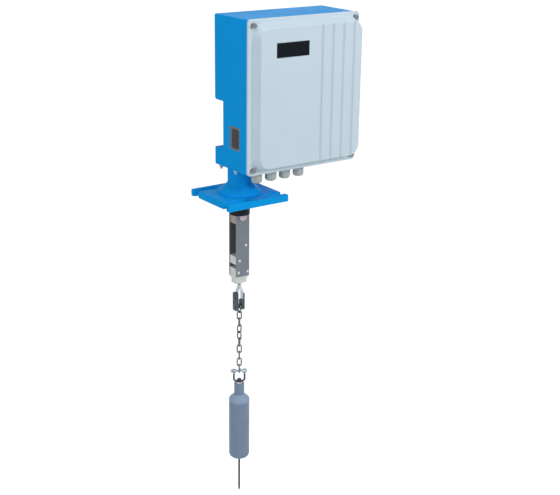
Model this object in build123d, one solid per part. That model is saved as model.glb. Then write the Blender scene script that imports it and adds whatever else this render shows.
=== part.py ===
from build123d import *
import os
from math import acos, atan2, cos, degrees, pi, radians, sin, sqrt, tan

# Electromechanical level meter for silos. Millimetres, +Z up, front towards -Y.
# The origin is the centre of the flange's lower face, on the axis of the tape.

# Clearances, and how far a cutting or a joining solid runs past the surface it meets
RUNNING = 0.05
GAP = 0.3
SLIP = 0.2
FILM = 0.05
CUT = 1.0

# Flange and pedestal, one casting
FLANGE_SIDE = 220.0
FLANGE_THICK = 22.0
FLANGE_EDGE = 2.5
SLOT_WIDTH = 22.0
SLOT_OFFSET = 83.0
SLOT_INNER = 26.0
PLATE_INSET = 3.0
CONE_RADIUS = 68.0
CONE_RIM = 5.0
CONE_HEIGHT = 27.0
NECK_RADIUS = 37.5
NECK_BORE = 31.0
NECK_BLEND = 12.0
PEDESTAL_HEIGHT = 120.0
HEAD_SIDE = 102.0
HEAD_THICK = 10.0
HEAD_CORNER = 12.0

# Studs between the pedestal's head and the housing's foot
FOOT_SCREW_PITCH = 82.0
FOOT_SCREW_RADIUS = 4.0
FOOT_NUT_ACROSS = 13.0
FOOT_NUT_HEIGHT = 8.0
FOOT_NUT_CORNER = 7.8
FOOT_STUD_END = 6.0
FOOT_WASHER_RADIUS = 8.2
FOOT_WASHER_THICK = 1.8
FOOT_SCREW_REACH = 12.0

# Housing, one casting
HOUSE_LEFT = 55.0
HOUSE_WIDTH = 408.0
HOUSE_HEIGHT = 463.0
HOUSE_FRONT = 124.0
HOUSE_BACK = 57.0
RECESS_BACK = 8.0
BULGE_HEIGHT = 260.0
FOOT_HEIGHT = 54.0
FOOT_WIDTH = 112.0
HOUSE_WALL = 5.0
HOUSE_EDGE = 5.0
BULGE_EDGE = 9.0
PARTITION_BACK = 28.0
PARTITION_THICK = 6.0
FRONT_FLOOR = 8.0
FOOT_FLOOR = 10.0
DUCT_WIDTH = 40.0
DUCT_DEPTH = 12.0
COVER_BOSS_RADIUS = 10.5
COVER_BOSS_LENGTH = 34.0
COVER_BOSS_END = 5.0
POCKET_DEPTH = 5.0

# Rear cover of the tape compartment
REAR_RIM = 9.0
REAR_LAND = 9.0
REAR_THICK = 4.0
REAR_WALL = 4.0
REAR_CORNER = 14.0
REAR_SCREW_RADIUS = 2.5
REAR_SCREW_HEAD = 4.6
REAR_SCREW_THICK = 2.2
REAR_SCREW_RIM = 1.0
REAR_SCREW_SLOT = 1.2
REAR_SLOT_DEPTH = 1.0
REAR_SCREW_COLUMNS = 4

# Front cover
LIP_OVERHANG = 2.5
LIP_THICK = 7.0
LIP_CORNER = 12.0
PANEL_DEPTH = 25.0
PANEL_LEFT = 16.0
PANEL_RIGHT = 4.0
PANEL_TOP = 11.0
PANEL_BOTTOM = 13.0
SLOPE_LEFT = 13.0
SLOPE_RIGHT = 2.0
SLOPE_TOP = 15.0
SLOPE_BOTTOM = 8.0
PANEL_CORNER = 36.0
PANEL_EDGE = 3.0
COVER_WALL = 4.0
COVER_SCREW_INSET = 17.5
COVER_SCREW_RADIUS = 3.0
COVER_SCREW_HEAD = 8.0
COVER_SCREW_HEIGHT = 8.5
COVER_SCREW_SLOT = 2.0
COVER_SLOT_DEPTH = 2.5
COVER_SCREW_EDGE = 1.2
COVER_SCREW_TURN = 35.0
COVER_SCREW_SHORT = 3.0
SCREW_POCKET = 11.0
GROOVES = 4
GROOVE_FIRST = 251.0
GROOVE_PITCH = 40.4
GROOVE_RADIUS = 5.0
GROOVE_DEPTH = 3.0
GROOVE_TOP = 29.0
LABEL_WIDTH = 118.5
LABEL_HEIGHT = 44.0
LABEL_LEFT = 82.0
LABEL_DROP = 68.0
LABEL_THICK = 0.8
LABEL_CORNER = 1.5
PLATE_WIDTH = 54.0
PLATE_HEIGHT = 72.0
PLATE_BACK = 29.0
PLATE_RISE = 65.0

# Cable glands under the front compartment
GLANDS = 4
GLAND_FIRST = 54.0
GLAND_PITCH = 52.5
GLAND_BACK = 28.0
GLAND_THREAD = 12.5
GLAND_ACROSS = 33.0
GLAND_HEX = 7.0
GLAND_NUT = 18.0
GLAND_NUT_LENGTH = 29.0
GLAND_DOME = 9.0
GLAND_BORE = 8.0
GLAND_INSIDE = 8.0
GLAND_LOCKNUT = 6.0
GLAND_NUT_EDGE = 1.0
GLAND_NUT_WALL = 3.0
GLAND_NUT_RIM = 4.0
GLAND_PLUG = 6.0
GLAND_PLUG_INSET = 1.0

# Seal collar and tape stripper
COLLAR_RADIUS = 33.0
COLLAR_LENGTH = 50.0
COLLAR_FLANGE = 37.0
COLLAR_FLANGE_THICK = 6.0
COLLAR_SINK = 0.5
COLLAR_EDGE = 1.5
SLEEVE_RADIUS = 18.0
SLEEVE_BORE = 13.5
SLEEVE_REACH = 28.0
CHANNEL_WIDTH = 52.0
CHANNEL_DEPTH = 41.0
CHANNEL_SHEET = 2.0
CHANNEL_BEND = 3.5
CHANNEL_LENGTH = 206.0
CHANNEL_SLANT = 5.0
SHOULDER_HEAD = 14.5
SHOULDER_HEAD_THICK = 4.0
SHOULDER_RIM = 1.5
SHOULDER_RISE = 5.5
SHOULDER_RADIUS = 5.0
SHOULDER_DROP = 10.5
UPPER_BLOCK_TOP = 188.0
UPPER_BLOCK_HEIGHT = 27.0
LOWER_BLOCK_TOP = 229.0
LOWER_BLOCK_HEIGHT = 35.0
NOSE_HEIGHT = 19.0
NOSE_INSET = 5.0
NOSE_ROUND = 4.0
NOSE_STEP = 2.0
BLOCK_REACH = 24.0
TAPE_SLIT = 0.8
SPACER_PLACE = (11.0, -152.0)
SPACER_RADIUS = 4.0
UPPER_SCREW_LEFT = 13.0
LOWER_SCREW_SIDE = 17.0
LOWER_SCREW_DROP = 13.0
SCREW_HEAD = 4.4
SCREW_HEAD_THICK = 2.8
SCREW_RIM = 1.0
SCREW_SHANK = 2.0
SCREW_DEPTH = 8.0

# Tape and hanger
TAPE_WIDTH = 12.0
TAPE_THICK = 0.3
HANGER_TOP = 286.0
HANGER_SHEET = 1.5
HANGER_WIDTH = 16.0
HANGER_NIP = 8.0
HANGER_SPREAD = 9.5
HANGER_SLOPE = 20.0
HANGER_BEND = 4.0
PIN_DROP = 366.0
PIN_RADIUS = 3.0
PIN_HEAD = 5.0
PIN_HEAD_THICK = 2.0
CHEEK_BELOW_PIN = 12.0
LEFT_CHEEK_HEIGHT = 62.0
LEFT_CHEEK_THICK = 8.5
LEFT_CHEEK_WIDTH = 22.0
RIGHT_CHEEK_HEIGHT = 33.0
RIGHT_CHEEK_THICK = 5.0
RIGHT_CHEEK_WIDTH = 18.0
RIGHT_PLATE_HEIGHT = 57.0
CHEEK_WEB = 4.0
CHEEK_EDGE = 3.0
CHEEK_SCREW_DROP = 337.0
RIVET_RADIUS = 2.0
RIVET_HEAD = 2.9
RIVET_HEAD_THICK = 1.2

# Chain
LINKS = 10
LINK_WIRE = 2.25
LINK_INNER_LENGTH = 24.2
LINK_INNER_WIDTH = 9.0
HANG_TURN = -30.0
FIRST_TWIST = -22.0
LINK_TWIST = 20.5
TWIST_AFTER = 2
TWISTED_LINKS = 4

# Shackle, seen square on from the same side as the chain's open links
SHACKLE_BAR = 3.2
SHACKLE_REACH = 17.8
SHACKLE_DROP = 36.6
SHACKLE_BEND = 8.0
SHACKLE_EYE = 9.0
SHACKLE_EYE_NECK = 5.6
SHACKLE_EYE_THICK = 13.5
SHACKLE_EYE_OUT = 4.5
SHACKLE_EYE_EDGE = 1.6
SHACKLE_PIN = 3.2
SHACKLE_PIN_HEAD = 5.5
SHACKLE_PIN_HEAD_THICK = 6.5
SHACKLE_PIN_EDGE = 1.0
SHACKLE_PIN_TAIL = 4.0
SPLIT_PIN = 0.9
SPLIT_PIN_REACH = 5.5

# Sounding weight
WEIGHT_RADIUS = 34.5
WEIGHT_NECK = 17.0
WEIGHT_NECK_LENGTH = 40.0
WEIGHT_BODY_LENGTH = 235.0
WEIGHT_SHOULDER = 15.0
WEIGHT_SHOULDER_ROUND = 11.0
WEIGHT_FOOT_ROUND = 16.0
WEIGHT_FOOT_CONE = 3.0
WEIGHT_NECK_EDGE = 3.0
LUG_RADIUS = 10.2
LUG_CROWN = 6.5
LUG_ROUND = 4.0
LUG_HEIGHT = 15.5
LUG_HOLE = 4.6
LUG_FLOOR = 0.8
LUG_STUD = 6.0
LUG_THREAD = 16.0
SPIKE_RADIUS = 3.2
SPIKE_LENGTH = 134.0
SPIKE_POINT = 12.0
SPIKE_TIP = 0.4
SPIKE_THREAD = 14.0

# Tape drum on its shaft, behind the partition
DRUM_RIGHT = 150.0
DRUM_DROP = 128.0
DRUM_CORE = 40.0
COIL_RADIUS = 62.0
DRUM_FLANGE = 72.0
DRUM_SHEET = 2.5
DRUM_HUB = 12.0
DRUM_SPOKES = 5
DRUM_WINDOW = 11.0
SHAFT_RADIUS = 7.5
BEARING_RADIUS = 16.0
BEARING_WIDTH = 9.0
BEARING_BOSS = 22.0
BEARING_SPREAD = 28.0
BEARING_SINK = 1.0
BEARING_LAND = 3.0
BEARING_RING = 4.0
SHAFT_TAIL = 8.0
SHAFT_NOSE = 4.0

# Gear drive in front of the partition
GEAR_MODULE = 1.5
GEAR_TEETH = 64
PINION_TEETH = 16
GEAR_WIDTH = 10.0
GEAR_BACK = 102.0
GEAR_BACKLASH = 0.35
GEAR_RELIEF = 0.12
PRESSURE_ANGLE = 20.0
ADDENDUM = 0.95
DEDENDUM = 1.25
GEAR_HUB = 14.0
GEAR_HUB_LENGTH = 8.0
PINION_ANGLE = -25.0
PINION_SHAFT = 5.0
BRACKET_BACK = 94.0
BRACKET_THICK = 4.0
BRACKET_WIDTH = 58.0
BRACKET_HEIGHT = 92.0
BRACKET_CORNER = 5.0
PILLAR_RADIUS = 4.0
PILLAR_INSET = 6.0
SHAFT_ROOM = 1.0
GEARBOX_SIDE = 56.0
GEARBOX_DEPTH = 50.0
GEARBOX_EDGE = 4.0
MOTOR_RADIUS = 23.0
MOTOR_ROOM = 35.5
MOTOR_CAP = 6.0
MOTOR_CAP_RADIUS = 20.0
MOTOR_CAP_EDGE = 2.0

# Measuring wheel on its tension arm
WHEEL_RADIUS = 38.0
WHEEL_RIM = 3.0
WHEEL_DROP = 103.0
WHEEL_WIDTH = 17.0
WHEEL_HUB = 9.0
WHEEL_SPOKES = 5
WHEEL_WINDOW = 8.0
AXLE_RADIUS = 4.0
AXLE_COLLAR = 6.0
AXLE_COLLAR_THICK = 2.0
PIVOT_COLLAR = 6.5
ARM_BACK = 14.0
ARM_THICK = 4.0
ARM_HEIGHT = 9.0
ARM_PIVOT_LEFT = 36.0
ARM_HUB = 8.0
ARM_TIP = 60.0
FINGER_HEIGHT = 34.0
FINGER_WIDTH = 6.0
SHOE_THICK = 2.0
SHOE_MARGIN = 1.0
DISC_RADIUS = 30.0
DISC_THICK = 1.5
DISC_GAP = 7.0
DISC_SLOTS = 24
DISC_SLOT_WIDTH = 3.0
DISC_SLOT_LENGTH = 5.0
DISC_SLOT_INSET = 2.0
SPRING_RADIUS = 5.5
SPRING_WIRE = 0.8
SPRING_TURNS = 6
SPRING_LENGTH = 42.0
SPRING_SEAT = 8.0
SENSOR_WIDTH = 16.0
SENSOR_HEIGHT = 20.0
SENSOR_LAP = 8.0
SENSOR_PRONG = 5.0
SENSOR_GAP = 2.0
SENSOR_THROAT = 11.0
SWITCH_WIDTH = 8.0
SWITCH_DEPTH = 14.0
SWITCH_HEIGHT = 22.0
SWITCH_RISE = 2.0

# Electronics in the front compartment
BOARD_WIDTH = 210.0
BOARD_HEIGHT = 120.0
BOARD_LEFT = 60.0
BOARD_RISE = 65.0
BOARD_THICK = 1.6
BOARD_STAND = 22.0
SPACER_POST = 3.5
TERMINALS = 12
TERMINAL_LEFT = 20.0
TERMINAL_RISE = 2.0
TERMINAL_PITCH = 14.0
TERMINAL_HEIGHT = 22.0
TERMINAL_DEPTH = 16.0
TERMINAL_BORE = 2.5
TERMINAL_FLOOR = 6.0
TERMINAL_SCREW_RISE = 14.3

# Levels and planes worked out from the sizes above
house_bottom = PEDESTAL_HEIGHT - HEAD_THICK
house_top = house_bottom + HOUSE_HEIGHT
house_left = -HOUSE_LEFT
house_right = house_left + HOUSE_WIDTH
house_front = -HOUSE_FRONT
bulge_bottom = house_top - BULGE_HEIGHT
foot_top = house_bottom + FOOT_HEIGHT
partition_back = -PARTITION_BACK
partition_front = partition_back - PARTITION_THICK
rear_inner = HOUSE_BACK - REAR_THICK - REAR_WALL
wheel_up = house_top - WHEEL_DROP
drum_up = house_top - DRUM_DROP
lip_front = house_front - LIP_THICK
panel_front = lip_front - PANEL_DEPTH
channel_top = -COLLAR_LENGTH - GAP
channel_bottom = channel_top - CHANNEL_LENGTH
channel_inner = CHANNEL_DEPTH / 2 - CHANNEL_SHEET
hanger_top = -HANGER_TOP
pin_height = -PIN_DROP
wheel_right = WHEEL_RADIUS + GAP + TAPE_THICK / 2
link_pitch = LINK_INNER_LENGTH - GAP
first_link = pin_height + PIN_RADIUS + GAP - LINK_INNER_LENGTH / 2
last_link = first_link - (LINKS - 1) * link_pitch
shackle_height = last_link - LINK_INNER_LENGTH / 2 + GAP + SHACKLE_PIN
bow_height = shackle_height - SHACKLE_DROP
lug_hole_height = bow_height + SHACKLE_BAR + GAP - LUG_HOLE
weight_top = lug_hole_height - LUG_HOLE - LUG_FLOOR
weight_foot = weight_top - WEIGHT_NECK_LENGTH - WEIGHT_BODY_LENGTH
strip_outer = HANGER_SPREAD + HANGER_SHEET / 2
cheek_outer = strip_outer + LEFT_CHEEK_THICK
cheek_bottom = pin_height - CHEEK_BELOW_PIN
upper_screw_height = -UPPER_BLOCK_TOP - UPPER_BLOCK_HEIGHT / 2
lower_screw_height = -LOWER_BLOCK_TOP - LOWER_SCREW_DROP


# Basic solids placed by their limits

def block(x_limits, y_limits, z_limits):
    """A box between three pairs of limits."""
    sizes = [high - low for low, high in (x_limits, y_limits, z_limits)]
    middle = [(high + low) / 2 for low, high in (x_limits, y_limits, z_limits)]
    return Pos(*middle) * Box(*sizes)


def rod_y(x, z, radius, y_limits):
    """A round rod along Y."""
    low, high = y_limits
    return Pos(x, (low + high) / 2, z) * Rot(90, 0, 0) * Cylinder(radius, high - low)


def rod_x(y, z, radius, x_limits):
    """A round rod along X."""
    low, high = x_limits
    return Pos((low + high) / 2, y, z) * Rot(0, 90, 0) * Cylinder(radius, high - low)


def rod_z(x, y, radius, z_limits):
    """A round rod along Z."""
    low, high = z_limits
    return Pos(x, y, (low + high) / 2) * Cylinder(radius, high - low)


def profile(points, rounds=None):
    """A flat face from corner points; rounds gives some corners a radius."""
    face = make_face(Polyline(*points, close=True))
    for index, radius in (rounds or {}).items():
        corner = face.vertices().sort_by_distance((*points[index], 0))[0]
        face = fillet(corner, radius)
    return face


def turned(points, rounds=None):
    """A solid turned about Z from corners given as radius and height."""
    return revolve(Plane.XZ * profile(points, rounds), Axis.Z)


def turned_y(points, rounds=None):
    """A solid turned about Y from corners given as radius and place along Y."""
    return Rot(-90, 0, 0) * turned(points, rounds)


def dome_head(radius, rim, height):
    """A domed screw head that faces the front, seated at y = 0."""
    crown = height - rim
    ball = (radius ** 2 + crown ** 2) / (2 * crown)
    return rod_y(0, 0, radius, (-height, 0)) & Pos(0, ball - height, 0) * Sphere(ball)


def rounded_panel(x_limits, z_limits, y, corner):
    """A rounded rectangle that stands in the plane of the front at y."""
    width = x_limits[1] - x_limits[0]
    height = z_limits[1] - z_limits[0]
    place = Pos((x_limits[0] + x_limits[1]) / 2, (z_limits[0] + z_limits[1]) / 2)
    return Plane.XZ.offset(-y) * (place * RectangleRounded(width, height, corner))


def hexagon(across, z_limits):
    """A hexagon bar along Z, sized across its flats."""
    low, high = z_limits
    return extrude(Pos(0, 0, low) * RegularPolygon(across / 2, 6, major_radius=False), high - low)


def corners(x, y):
    """The four corners of a rectangle round the origin."""
    return [(sx * x, sy * y) for sx in (-1, 1) for sy in (-1, 1)]


# Pedestal

def foot_screw_places():
    return corners(FOOT_SCREW_PITCH / 2, FOOT_SCREW_PITCH / 2)


def make_pedestal():
    half = FLANGE_SIDE / 2
    flange = block((-half, half), (-half, half), (0, FLANGE_THICK))
    slot_length = half - SLOT_INNER
    for sx, sy in corners(1, 1):
        inner = sx * (SLOT_INNER + SLOT_WIDTH / 2)
        outer = sx * (half + SLOT_WIDTH)
        limits = (min(inner, outer), max(inner, outer))
        side = sy * SLOT_OFFSET
        across = (side - SLOT_WIDTH / 2, side + SLOT_WIDTH / 2)
        through = (-CUT, FLANGE_THICK + CUT)
        flange -= block(limits, across, through)
        flange -= rod_z(inner, side, SLOT_WIDTH / 2, through)
    plate_half = SLOT_OFFSET - SLOT_WIDTH / 2
    for sx in (-1, 1):
        outer = (half - PLATE_INSET, half + CUT)
        limits = outer if sx > 0 else (-outer[1], -outer[0])
        flange -= block(limits, (-plate_half - CUT, plate_half + CUT), (-CUT, FLANGE_THICK + CUT))
    flange = fillet(flange.faces().sort_by(Axis.Z)[-1].edges(), FLANGE_EDGE)

    cone_foot = FLANGE_THICK + CONE_RIM
    cone_top = cone_foot + CONE_HEIGHT
    neck = turned(
        [
            (0, FLANGE_THICK - CUT),
            (CONE_RADIUS, FLANGE_THICK - CUT),
            (CONE_RADIUS, cone_foot),
            (NECK_RADIUS, cone_top),
            (NECK_RADIUS, PEDESTAL_HEIGHT - CUT),
            (0, PEDESTAL_HEIGHT - CUT),
        ],
        {2: CONE_RIM / 2, 3: NECK_BLEND},
    )
    head_base = Pos(0, 0, house_bottom) * RectangleRounded(HEAD_SIDE, HEAD_SIDE, HEAD_CORNER)
    head = extrude(head_base, HEAD_THICK)
    body = flange + neck + head
    body -= rod_z(0, 0, NECK_BORE, (-CUT, PEDESTAL_HEIGHT + CUT))
    body -= rod_z(0, 0, COLLAR_FLANGE + GAP, (-CUT, COLLAR_FLANGE_THICK))
    for x, y in foot_screw_places():
        body -= rod_z(x, y, FOOT_SCREW_RADIUS + SLIP, (house_bottom - CUT, PEDESTAL_HEIGHT + CUT))
    return body


def make_pedestal_screws():
    """Studs with their washers and nuts, which hold the housing's foot on the pedestal's head."""
    washer_low = house_bottom - FOOT_WASHER_THICK
    nut_low = washer_low - FOOT_NUT_HEIGHT
    stud_limits = (nut_low - FOOT_STUD_END, PEDESTAL_HEIGHT + FOOT_SCREW_REACH)
    chamfer = turned(
        [(0, nut_low), (FOOT_NUT_ACROSS / 2, nut_low), (FOOT_NUT_CORNER, washer_low), (0, washer_low)]
    )
    stud = rod_z(0, 0, FOOT_WASHER_RADIUS, (washer_low, house_bottom))
    stud += hexagon(FOOT_NUT_ACROSS, (nut_low, washer_low)) & chamfer
    stud += rod_z(0, 0, FOOT_SCREW_RADIUS, stud_limits)
    return Compound([Pos(x, y, 0) * stud for x, y in foot_screw_places()])


# Housing

def cover_screw_places():
    """Centres of the front cover's screws, in X and Z."""
    inset = COVER_SCREW_INSET - LIP_OVERHANG
    xs = (house_left + inset, house_right - inset)
    zs = (house_bottom + inset, house_top - inset)
    return [(x, z) for x in xs for z in zs]


def rear_limits(inset):
    """The rear cover's field, drawn in by an inset from the bulge's outline."""
    return (
        (house_left + inset, house_right - inset),
        (bulge_bottom + inset, house_top - inset),
    )


def rear_screw_places():
    (x_low, x_high), (z_low, z_high) = rear_limits(REAR_RIM + REAR_LAND / 2)
    step = (x_high - x_low) / (REAR_SCREW_COLUMNS - 1)
    return [(x_low + step * i, z) for i in range(REAR_SCREW_COLUMNS) for z in (z_low, z_high)]


def gland_places():
    """Centres of the cable glands, in X and Y."""
    return [(house_left + GLAND_FIRST + GLAND_PITCH * i, house_front + GLAND_BACK) for i in range(GLANDS)]


def bearing_faces():
    """Where the two bearing seats of the drum shaft begin and end, along Y."""
    back = partition_back + BEARING_WIDTH + BEARING_SINK
    front = back - BEARING_SPREAD
    return (front, front + BEARING_WIDTH), (back - BEARING_WIDTH, back)


def spring_seat_height():
    return wheel_up - ARM_HEIGHT / 2 - GAP - SPRING_LENGTH


def make_housing():
    x_limits = (house_left, house_right)
    body = block(x_limits, (house_front, RECESS_BACK), (house_bottom, house_top))
    body += block(x_limits, (0, HOUSE_BACK), (bulge_bottom, house_top))
    foot_right = house_left + FOOT_WIDTH
    body += block((house_left, foot_right), (0, HOUSE_BACK), (house_bottom, foot_top))
    lower_back = body.edges().filter_by(Axis.X).group_by(Axis.Y)[-1].sort_by(Axis.Z)[2]
    body = fillet(lower_back, BULGE_EDGE)
    outer = [
        edge
        for edge in body.edges().filter_by(Axis.Z)
        if abs(edge.center().Y - HOUSE_BACK) < GAP
    ]
    outer += [
        edge
        for edge in body.edges().filter_by(Axis.X)
        if abs(edge.center().Z - house_top) < GAP and edge.center().Y > 0
    ]
    outer += [
        edge
        for edge in body.edges().filter_by(Axis.Y)
        if abs(edge.center().Z - house_top) < GAP
    ]
    body = fillet(outer, HOUSE_EDGE)
    duct_half = DUCT_WIDTH / 2
    duct_back = RECESS_BACK + DUCT_DEPTH
    body += block((-duct_half, duct_half), (0, duct_back), (foot_top - CUT, bulge_bottom + BULGE_EDGE))

    # The front compartment, open to the front, with a thicker floor over the pedestal's head
    inner_x = (house_left + HOUSE_WALL, house_right - HOUSE_WALL)
    inner_top = house_top - HOUSE_WALL
    head_front = -HEAD_SIDE / 2 - HOUSE_WALL
    front_floor = house_bottom + FRONT_FLOOR
    back_floor = PEDESTAL_HEIGHT + FOOT_FLOOR
    body -= block(inner_x, (house_front - CUT, head_front), (front_floor, inner_top))
    body -= block(inner_x, (head_front - CUT, partition_front), (back_floor, inner_top))

    # The tape compartment, open to the back through the rear cover's seat
    bulge_floor = bulge_bottom + HOUSE_WALL
    body -= block(inner_x, (partition_back, RECESS_BACK - HOUSE_WALL), (back_floor, inner_top))
    body -= block(inner_x, (partition_back, rear_inner), (bulge_floor, inner_top))
    duct_inner = duct_half - HOUSE_WALL
    body -= block((-duct_inner, duct_inner), (0, duct_back - HOUSE_WALL), (back_floor, bulge_floor + CUT))
    opening_x, opening_z = rear_limits(REAR_RIM + REAR_LAND)
    opening = rounded_panel(opening_x, opening_z, rear_inner - CUT, REAR_CORNER - REAR_WALL)
    body -= extrude(opening, -HOUSE_BACK)
    seat_x, seat_z = rear_limits(REAR_RIM)
    seat_y = HOUSE_BACK - REAR_THICK
    body -= extrude(rounded_panel(seat_x, seat_z, seat_y, REAR_CORNER), -HOUSE_BACK)
    for x, z in rear_screw_places():
        body -= rod_y(x, z, REAR_SCREW_RADIUS, (rear_inner - CUT, HOUSE_BACK))

    # The foot, with the pocket and threads for the pedestal's head
    pocket_base = Pos(0, 0, house_bottom - CUT) * RectangleRounded(
        HEAD_SIDE + 2 * GAP, HEAD_SIDE + 2 * GAP, HEAD_CORNER + GAP
    )
    body -= extrude(pocket_base, HEAD_THICK + CUT)
    body -= rod_z(0, 0, NECK_BORE, (house_bottom, PEDESTAL_HEIGHT + POCKET_DEPTH))
    tape_way = block(
        (-NECK_BORE / 2, NECK_BORE / 2),
        (partition_back, duct_back - HOUSE_WALL),
        (PEDESTAL_HEIGHT, back_floor + CUT),
    )
    body -= tape_way & rod_z(0, 0, NECK_BORE, (house_bottom, back_floor + 2 * CUT))
    thread = (PEDESTAL_HEIGHT - CUT, PEDESTAL_HEIGHT + FOOT_SCREW_REACH + CUT)
    for x, y in foot_screw_places():
        body -= rod_z(x, y, FOOT_SCREW_RADIUS, thread)

    # Bosses for the cover's screws, the drum shaft, the arm's pivot and its spring
    for x, z in cover_screw_places():
        body += rod_y(x, z, COVER_BOSS_RADIUS, (house_front, house_front + COVER_BOSS_LENGTH))
        thread = (house_front - CUT, house_front + COVER_BOSS_LENGTH - COVER_BOSS_END)
        body -= rod_y(x, z, COVER_SCREW_RADIUS, thread)
    (front_seat, front_end), (back_start, back_seat) = bearing_faces()
    body += rod_y(DRUM_RIGHT, drum_up, BEARING_BOSS, (front_seat, back_seat))
    body -= rod_y(DRUM_RIGHT, drum_up, BEARING_RADIUS, (front_seat - CUT, front_end))
    body -= rod_y(DRUM_RIGHT, drum_up, BEARING_RADIUS - BEARING_LAND, (front_seat, back_seat))
    body -= rod_y(DRUM_RIGHT, drum_up, BEARING_RADIUS, (back_start, back_seat + CUT))
    body += rod_y(-ARM_PIVOT_LEFT, wheel_up, ARM_HUB, (partition_back, ARM_BACK - GAP))
    body -= rod_y(-ARM_PIVOT_LEFT, wheel_up, AXLE_RADIUS, (partition_back - CUT, ARM_BACK))
    spring_y = ARM_BACK + ARM_THICK / 2
    seat = (spring_seat_height() - SPRING_SEAT, spring_seat_height())
    reach = SPRING_RADIUS + SPRING_WIRE + SHOE_MARGIN
    body += block((ARM_TIP - reach, ARM_TIP + reach), (partition_back, spring_y + reach), seat)
    for x, y in gland_places():
        body -= rod_z(x, y, GLAND_THREAD, (house_bottom - CUT, front_floor + CUT))
    return body


def make_rear_cover():
    seat_x, seat_z = rear_limits(REAR_RIM + GAP)
    seat_y = HOUSE_BACK - REAR_THICK
    cover = extrude(rounded_panel(seat_x, seat_z, seat_y, REAR_CORNER - GAP), -REAR_THICK)
    for x, z in rear_screw_places():
        cover -= rod_y(x, z, REAR_SCREW_RADIUS + SLIP, (seat_y - CUT, HOUSE_BACK + CUT))
    return cover


def make_rear_cover_screws():
    head = dome_head(REAR_SCREW_HEAD, REAR_SCREW_RIM, REAR_SCREW_THICK)
    head -= block(
        (-REAR_SCREW_HEAD, REAR_SCREW_HEAD),
        (-REAR_SCREW_THICK - CUT, -REAR_SCREW_THICK + REAR_SLOT_DEPTH),
        (-REAR_SCREW_SLOT / 2, REAR_SCREW_SLOT / 2),
    )
    shank = rod_y(0, 0, REAR_SCREW_RADIUS, (-REAR_SCREW_RIM, REAR_THICK + REAR_WALL))
    screw = Rot(0, 0, 180) * (head + shank)
    return Compound([Pos(x, HOUSE_BACK, z) * screw for x, z in rear_screw_places()])


# Front cover

def lip_limits():
    over = LIP_OVERHANG
    return (house_left - over, house_right + over), (house_bottom - over, house_top + over)


def panel_limits(slope, inset=0.0):
    """The raised panel's outline at its base (slope 0) or at its front (slope 1)."""
    (x_low, x_high), (z_low, z_high) = lip_limits()
    return (
        (x_low + PANEL_LEFT + SLOPE_LEFT * slope + inset, x_high - PANEL_RIGHT - SLOPE_RIGHT * slope - inset),
        (z_low + PANEL_BOTTOM + SLOPE_BOTTOM * slope + inset, z_high - PANEL_TOP - SLOPE_TOP * slope - inset),
    )


def panel_body(inset, back, front):
    """The raised panel, or the hollow inside it, lofted between two rounded outlines."""
    corner = PANEL_CORNER - inset
    base = rounded_panel(*panel_limits(0, inset), back, corner)
    face = rounded_panel(*panel_limits(1, inset), front, corner)
    return loft([base, face])


def groove_places():
    return [house_left + GROOVE_FIRST + GROOVE_PITCH * i for i in range(GROOVES)]


def make_front_cover():
    lip = extrude(rounded_panel(*lip_limits(), house_front, LIP_CORNER), LIP_THICK)
    lip = fillet(lip.faces().sort_by(Axis.Y)[0].edges(), PANEL_EDGE)
    panel = panel_body(0, lip_front + CUT, panel_front)
    panel = fillet(panel.faces().sort_by(Axis.Y)[0].edges(), PANEL_EDGE)
    cover = lip + panel
    cover -= panel_body(COVER_WALL, lip_front + CUT, panel_front + COVER_WALL)
    inner_x = (house_left + HOUSE_WALL, house_right - HOUSE_WALL)
    inner_z = (house_bottom + FRONT_FLOOR + COVER_WALL, house_top - HOUSE_WALL)
    hollow = rounded_panel(inner_x, inner_z, house_front + CUT, LIP_CORNER)
    hollow = extrude(hollow, LIP_THICK - COVER_WALL + CUT)
    for x, z in cover_screw_places():
        hollow -= rod_y(x, z, COVER_BOSS_RADIUS, (lip_front - CUT, house_front + CUT))
    cover -= hollow
    joined_x, joined_z = panel_limits(0, COVER_WALL)
    cover -= extrude(rounded_panel(joined_x, joined_z, house_front, PANEL_CORNER - COVER_WALL), LIP_THICK)
    for x, z in cover_screw_places():
        cover += rod_y(x, z, COVER_BOSS_RADIUS, (lip_front + CUT, house_front))
        cover -= rod_y(x, z, SCREW_POCKET, (panel_front - CUT, lip_front))
        cover -= rod_y(x, z, COVER_SCREW_RADIUS + SLIP, (lip_front - CUT, house_front + CUT))
    groove_y = panel_front - GROOVE_RADIUS + GROOVE_DEPTH
    top = house_top - GROOVE_TOP
    for x in groove_places():
        cover -= rod_z(x, groove_y, GROOVE_RADIUS, (house_bottom, top))
        cover -= Pos(x, groove_y, top) * Sphere(GROOVE_RADIUS)
    return cover


def make_cover_screws():
    head_front = -COVER_SCREW_HEIGHT
    head = turned_y(
        [(0, head_front), (COVER_SCREW_HEAD, head_front), (COVER_SCREW_HEAD, 0), (0, 0)],
        {1: COVER_SCREW_EDGE},
    )
    head -= block(
        (-COVER_SCREW_HEAD, COVER_SCREW_HEAD),
        (head_front - CUT, head_front + COVER_SLOT_DEPTH),
        (-COVER_SCREW_SLOT / 2, COVER_SCREW_SLOT / 2),
    )
    reach = LIP_THICK + COVER_BOSS_LENGTH - COVER_BOSS_END - COVER_SCREW_SHORT
    screw = Rot(0, COVER_SCREW_TURN, 0) * (head + rod_y(0, 0, COVER_SCREW_RADIUS, (-CUT, reach)))
    return Compound([Pos(x, lip_front, z) * screw for x, z in cover_screw_places()])


def make_front_label():
    left = house_left + LABEL_LEFT
    top = house_top - LABEL_DROP
    x_limits = (left, left + LABEL_WIDTH)
    return extrude(rounded_panel(x_limits, (top - LABEL_HEIGHT, top), panel_front, LABEL_CORNER), LABEL_THICK)


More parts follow.
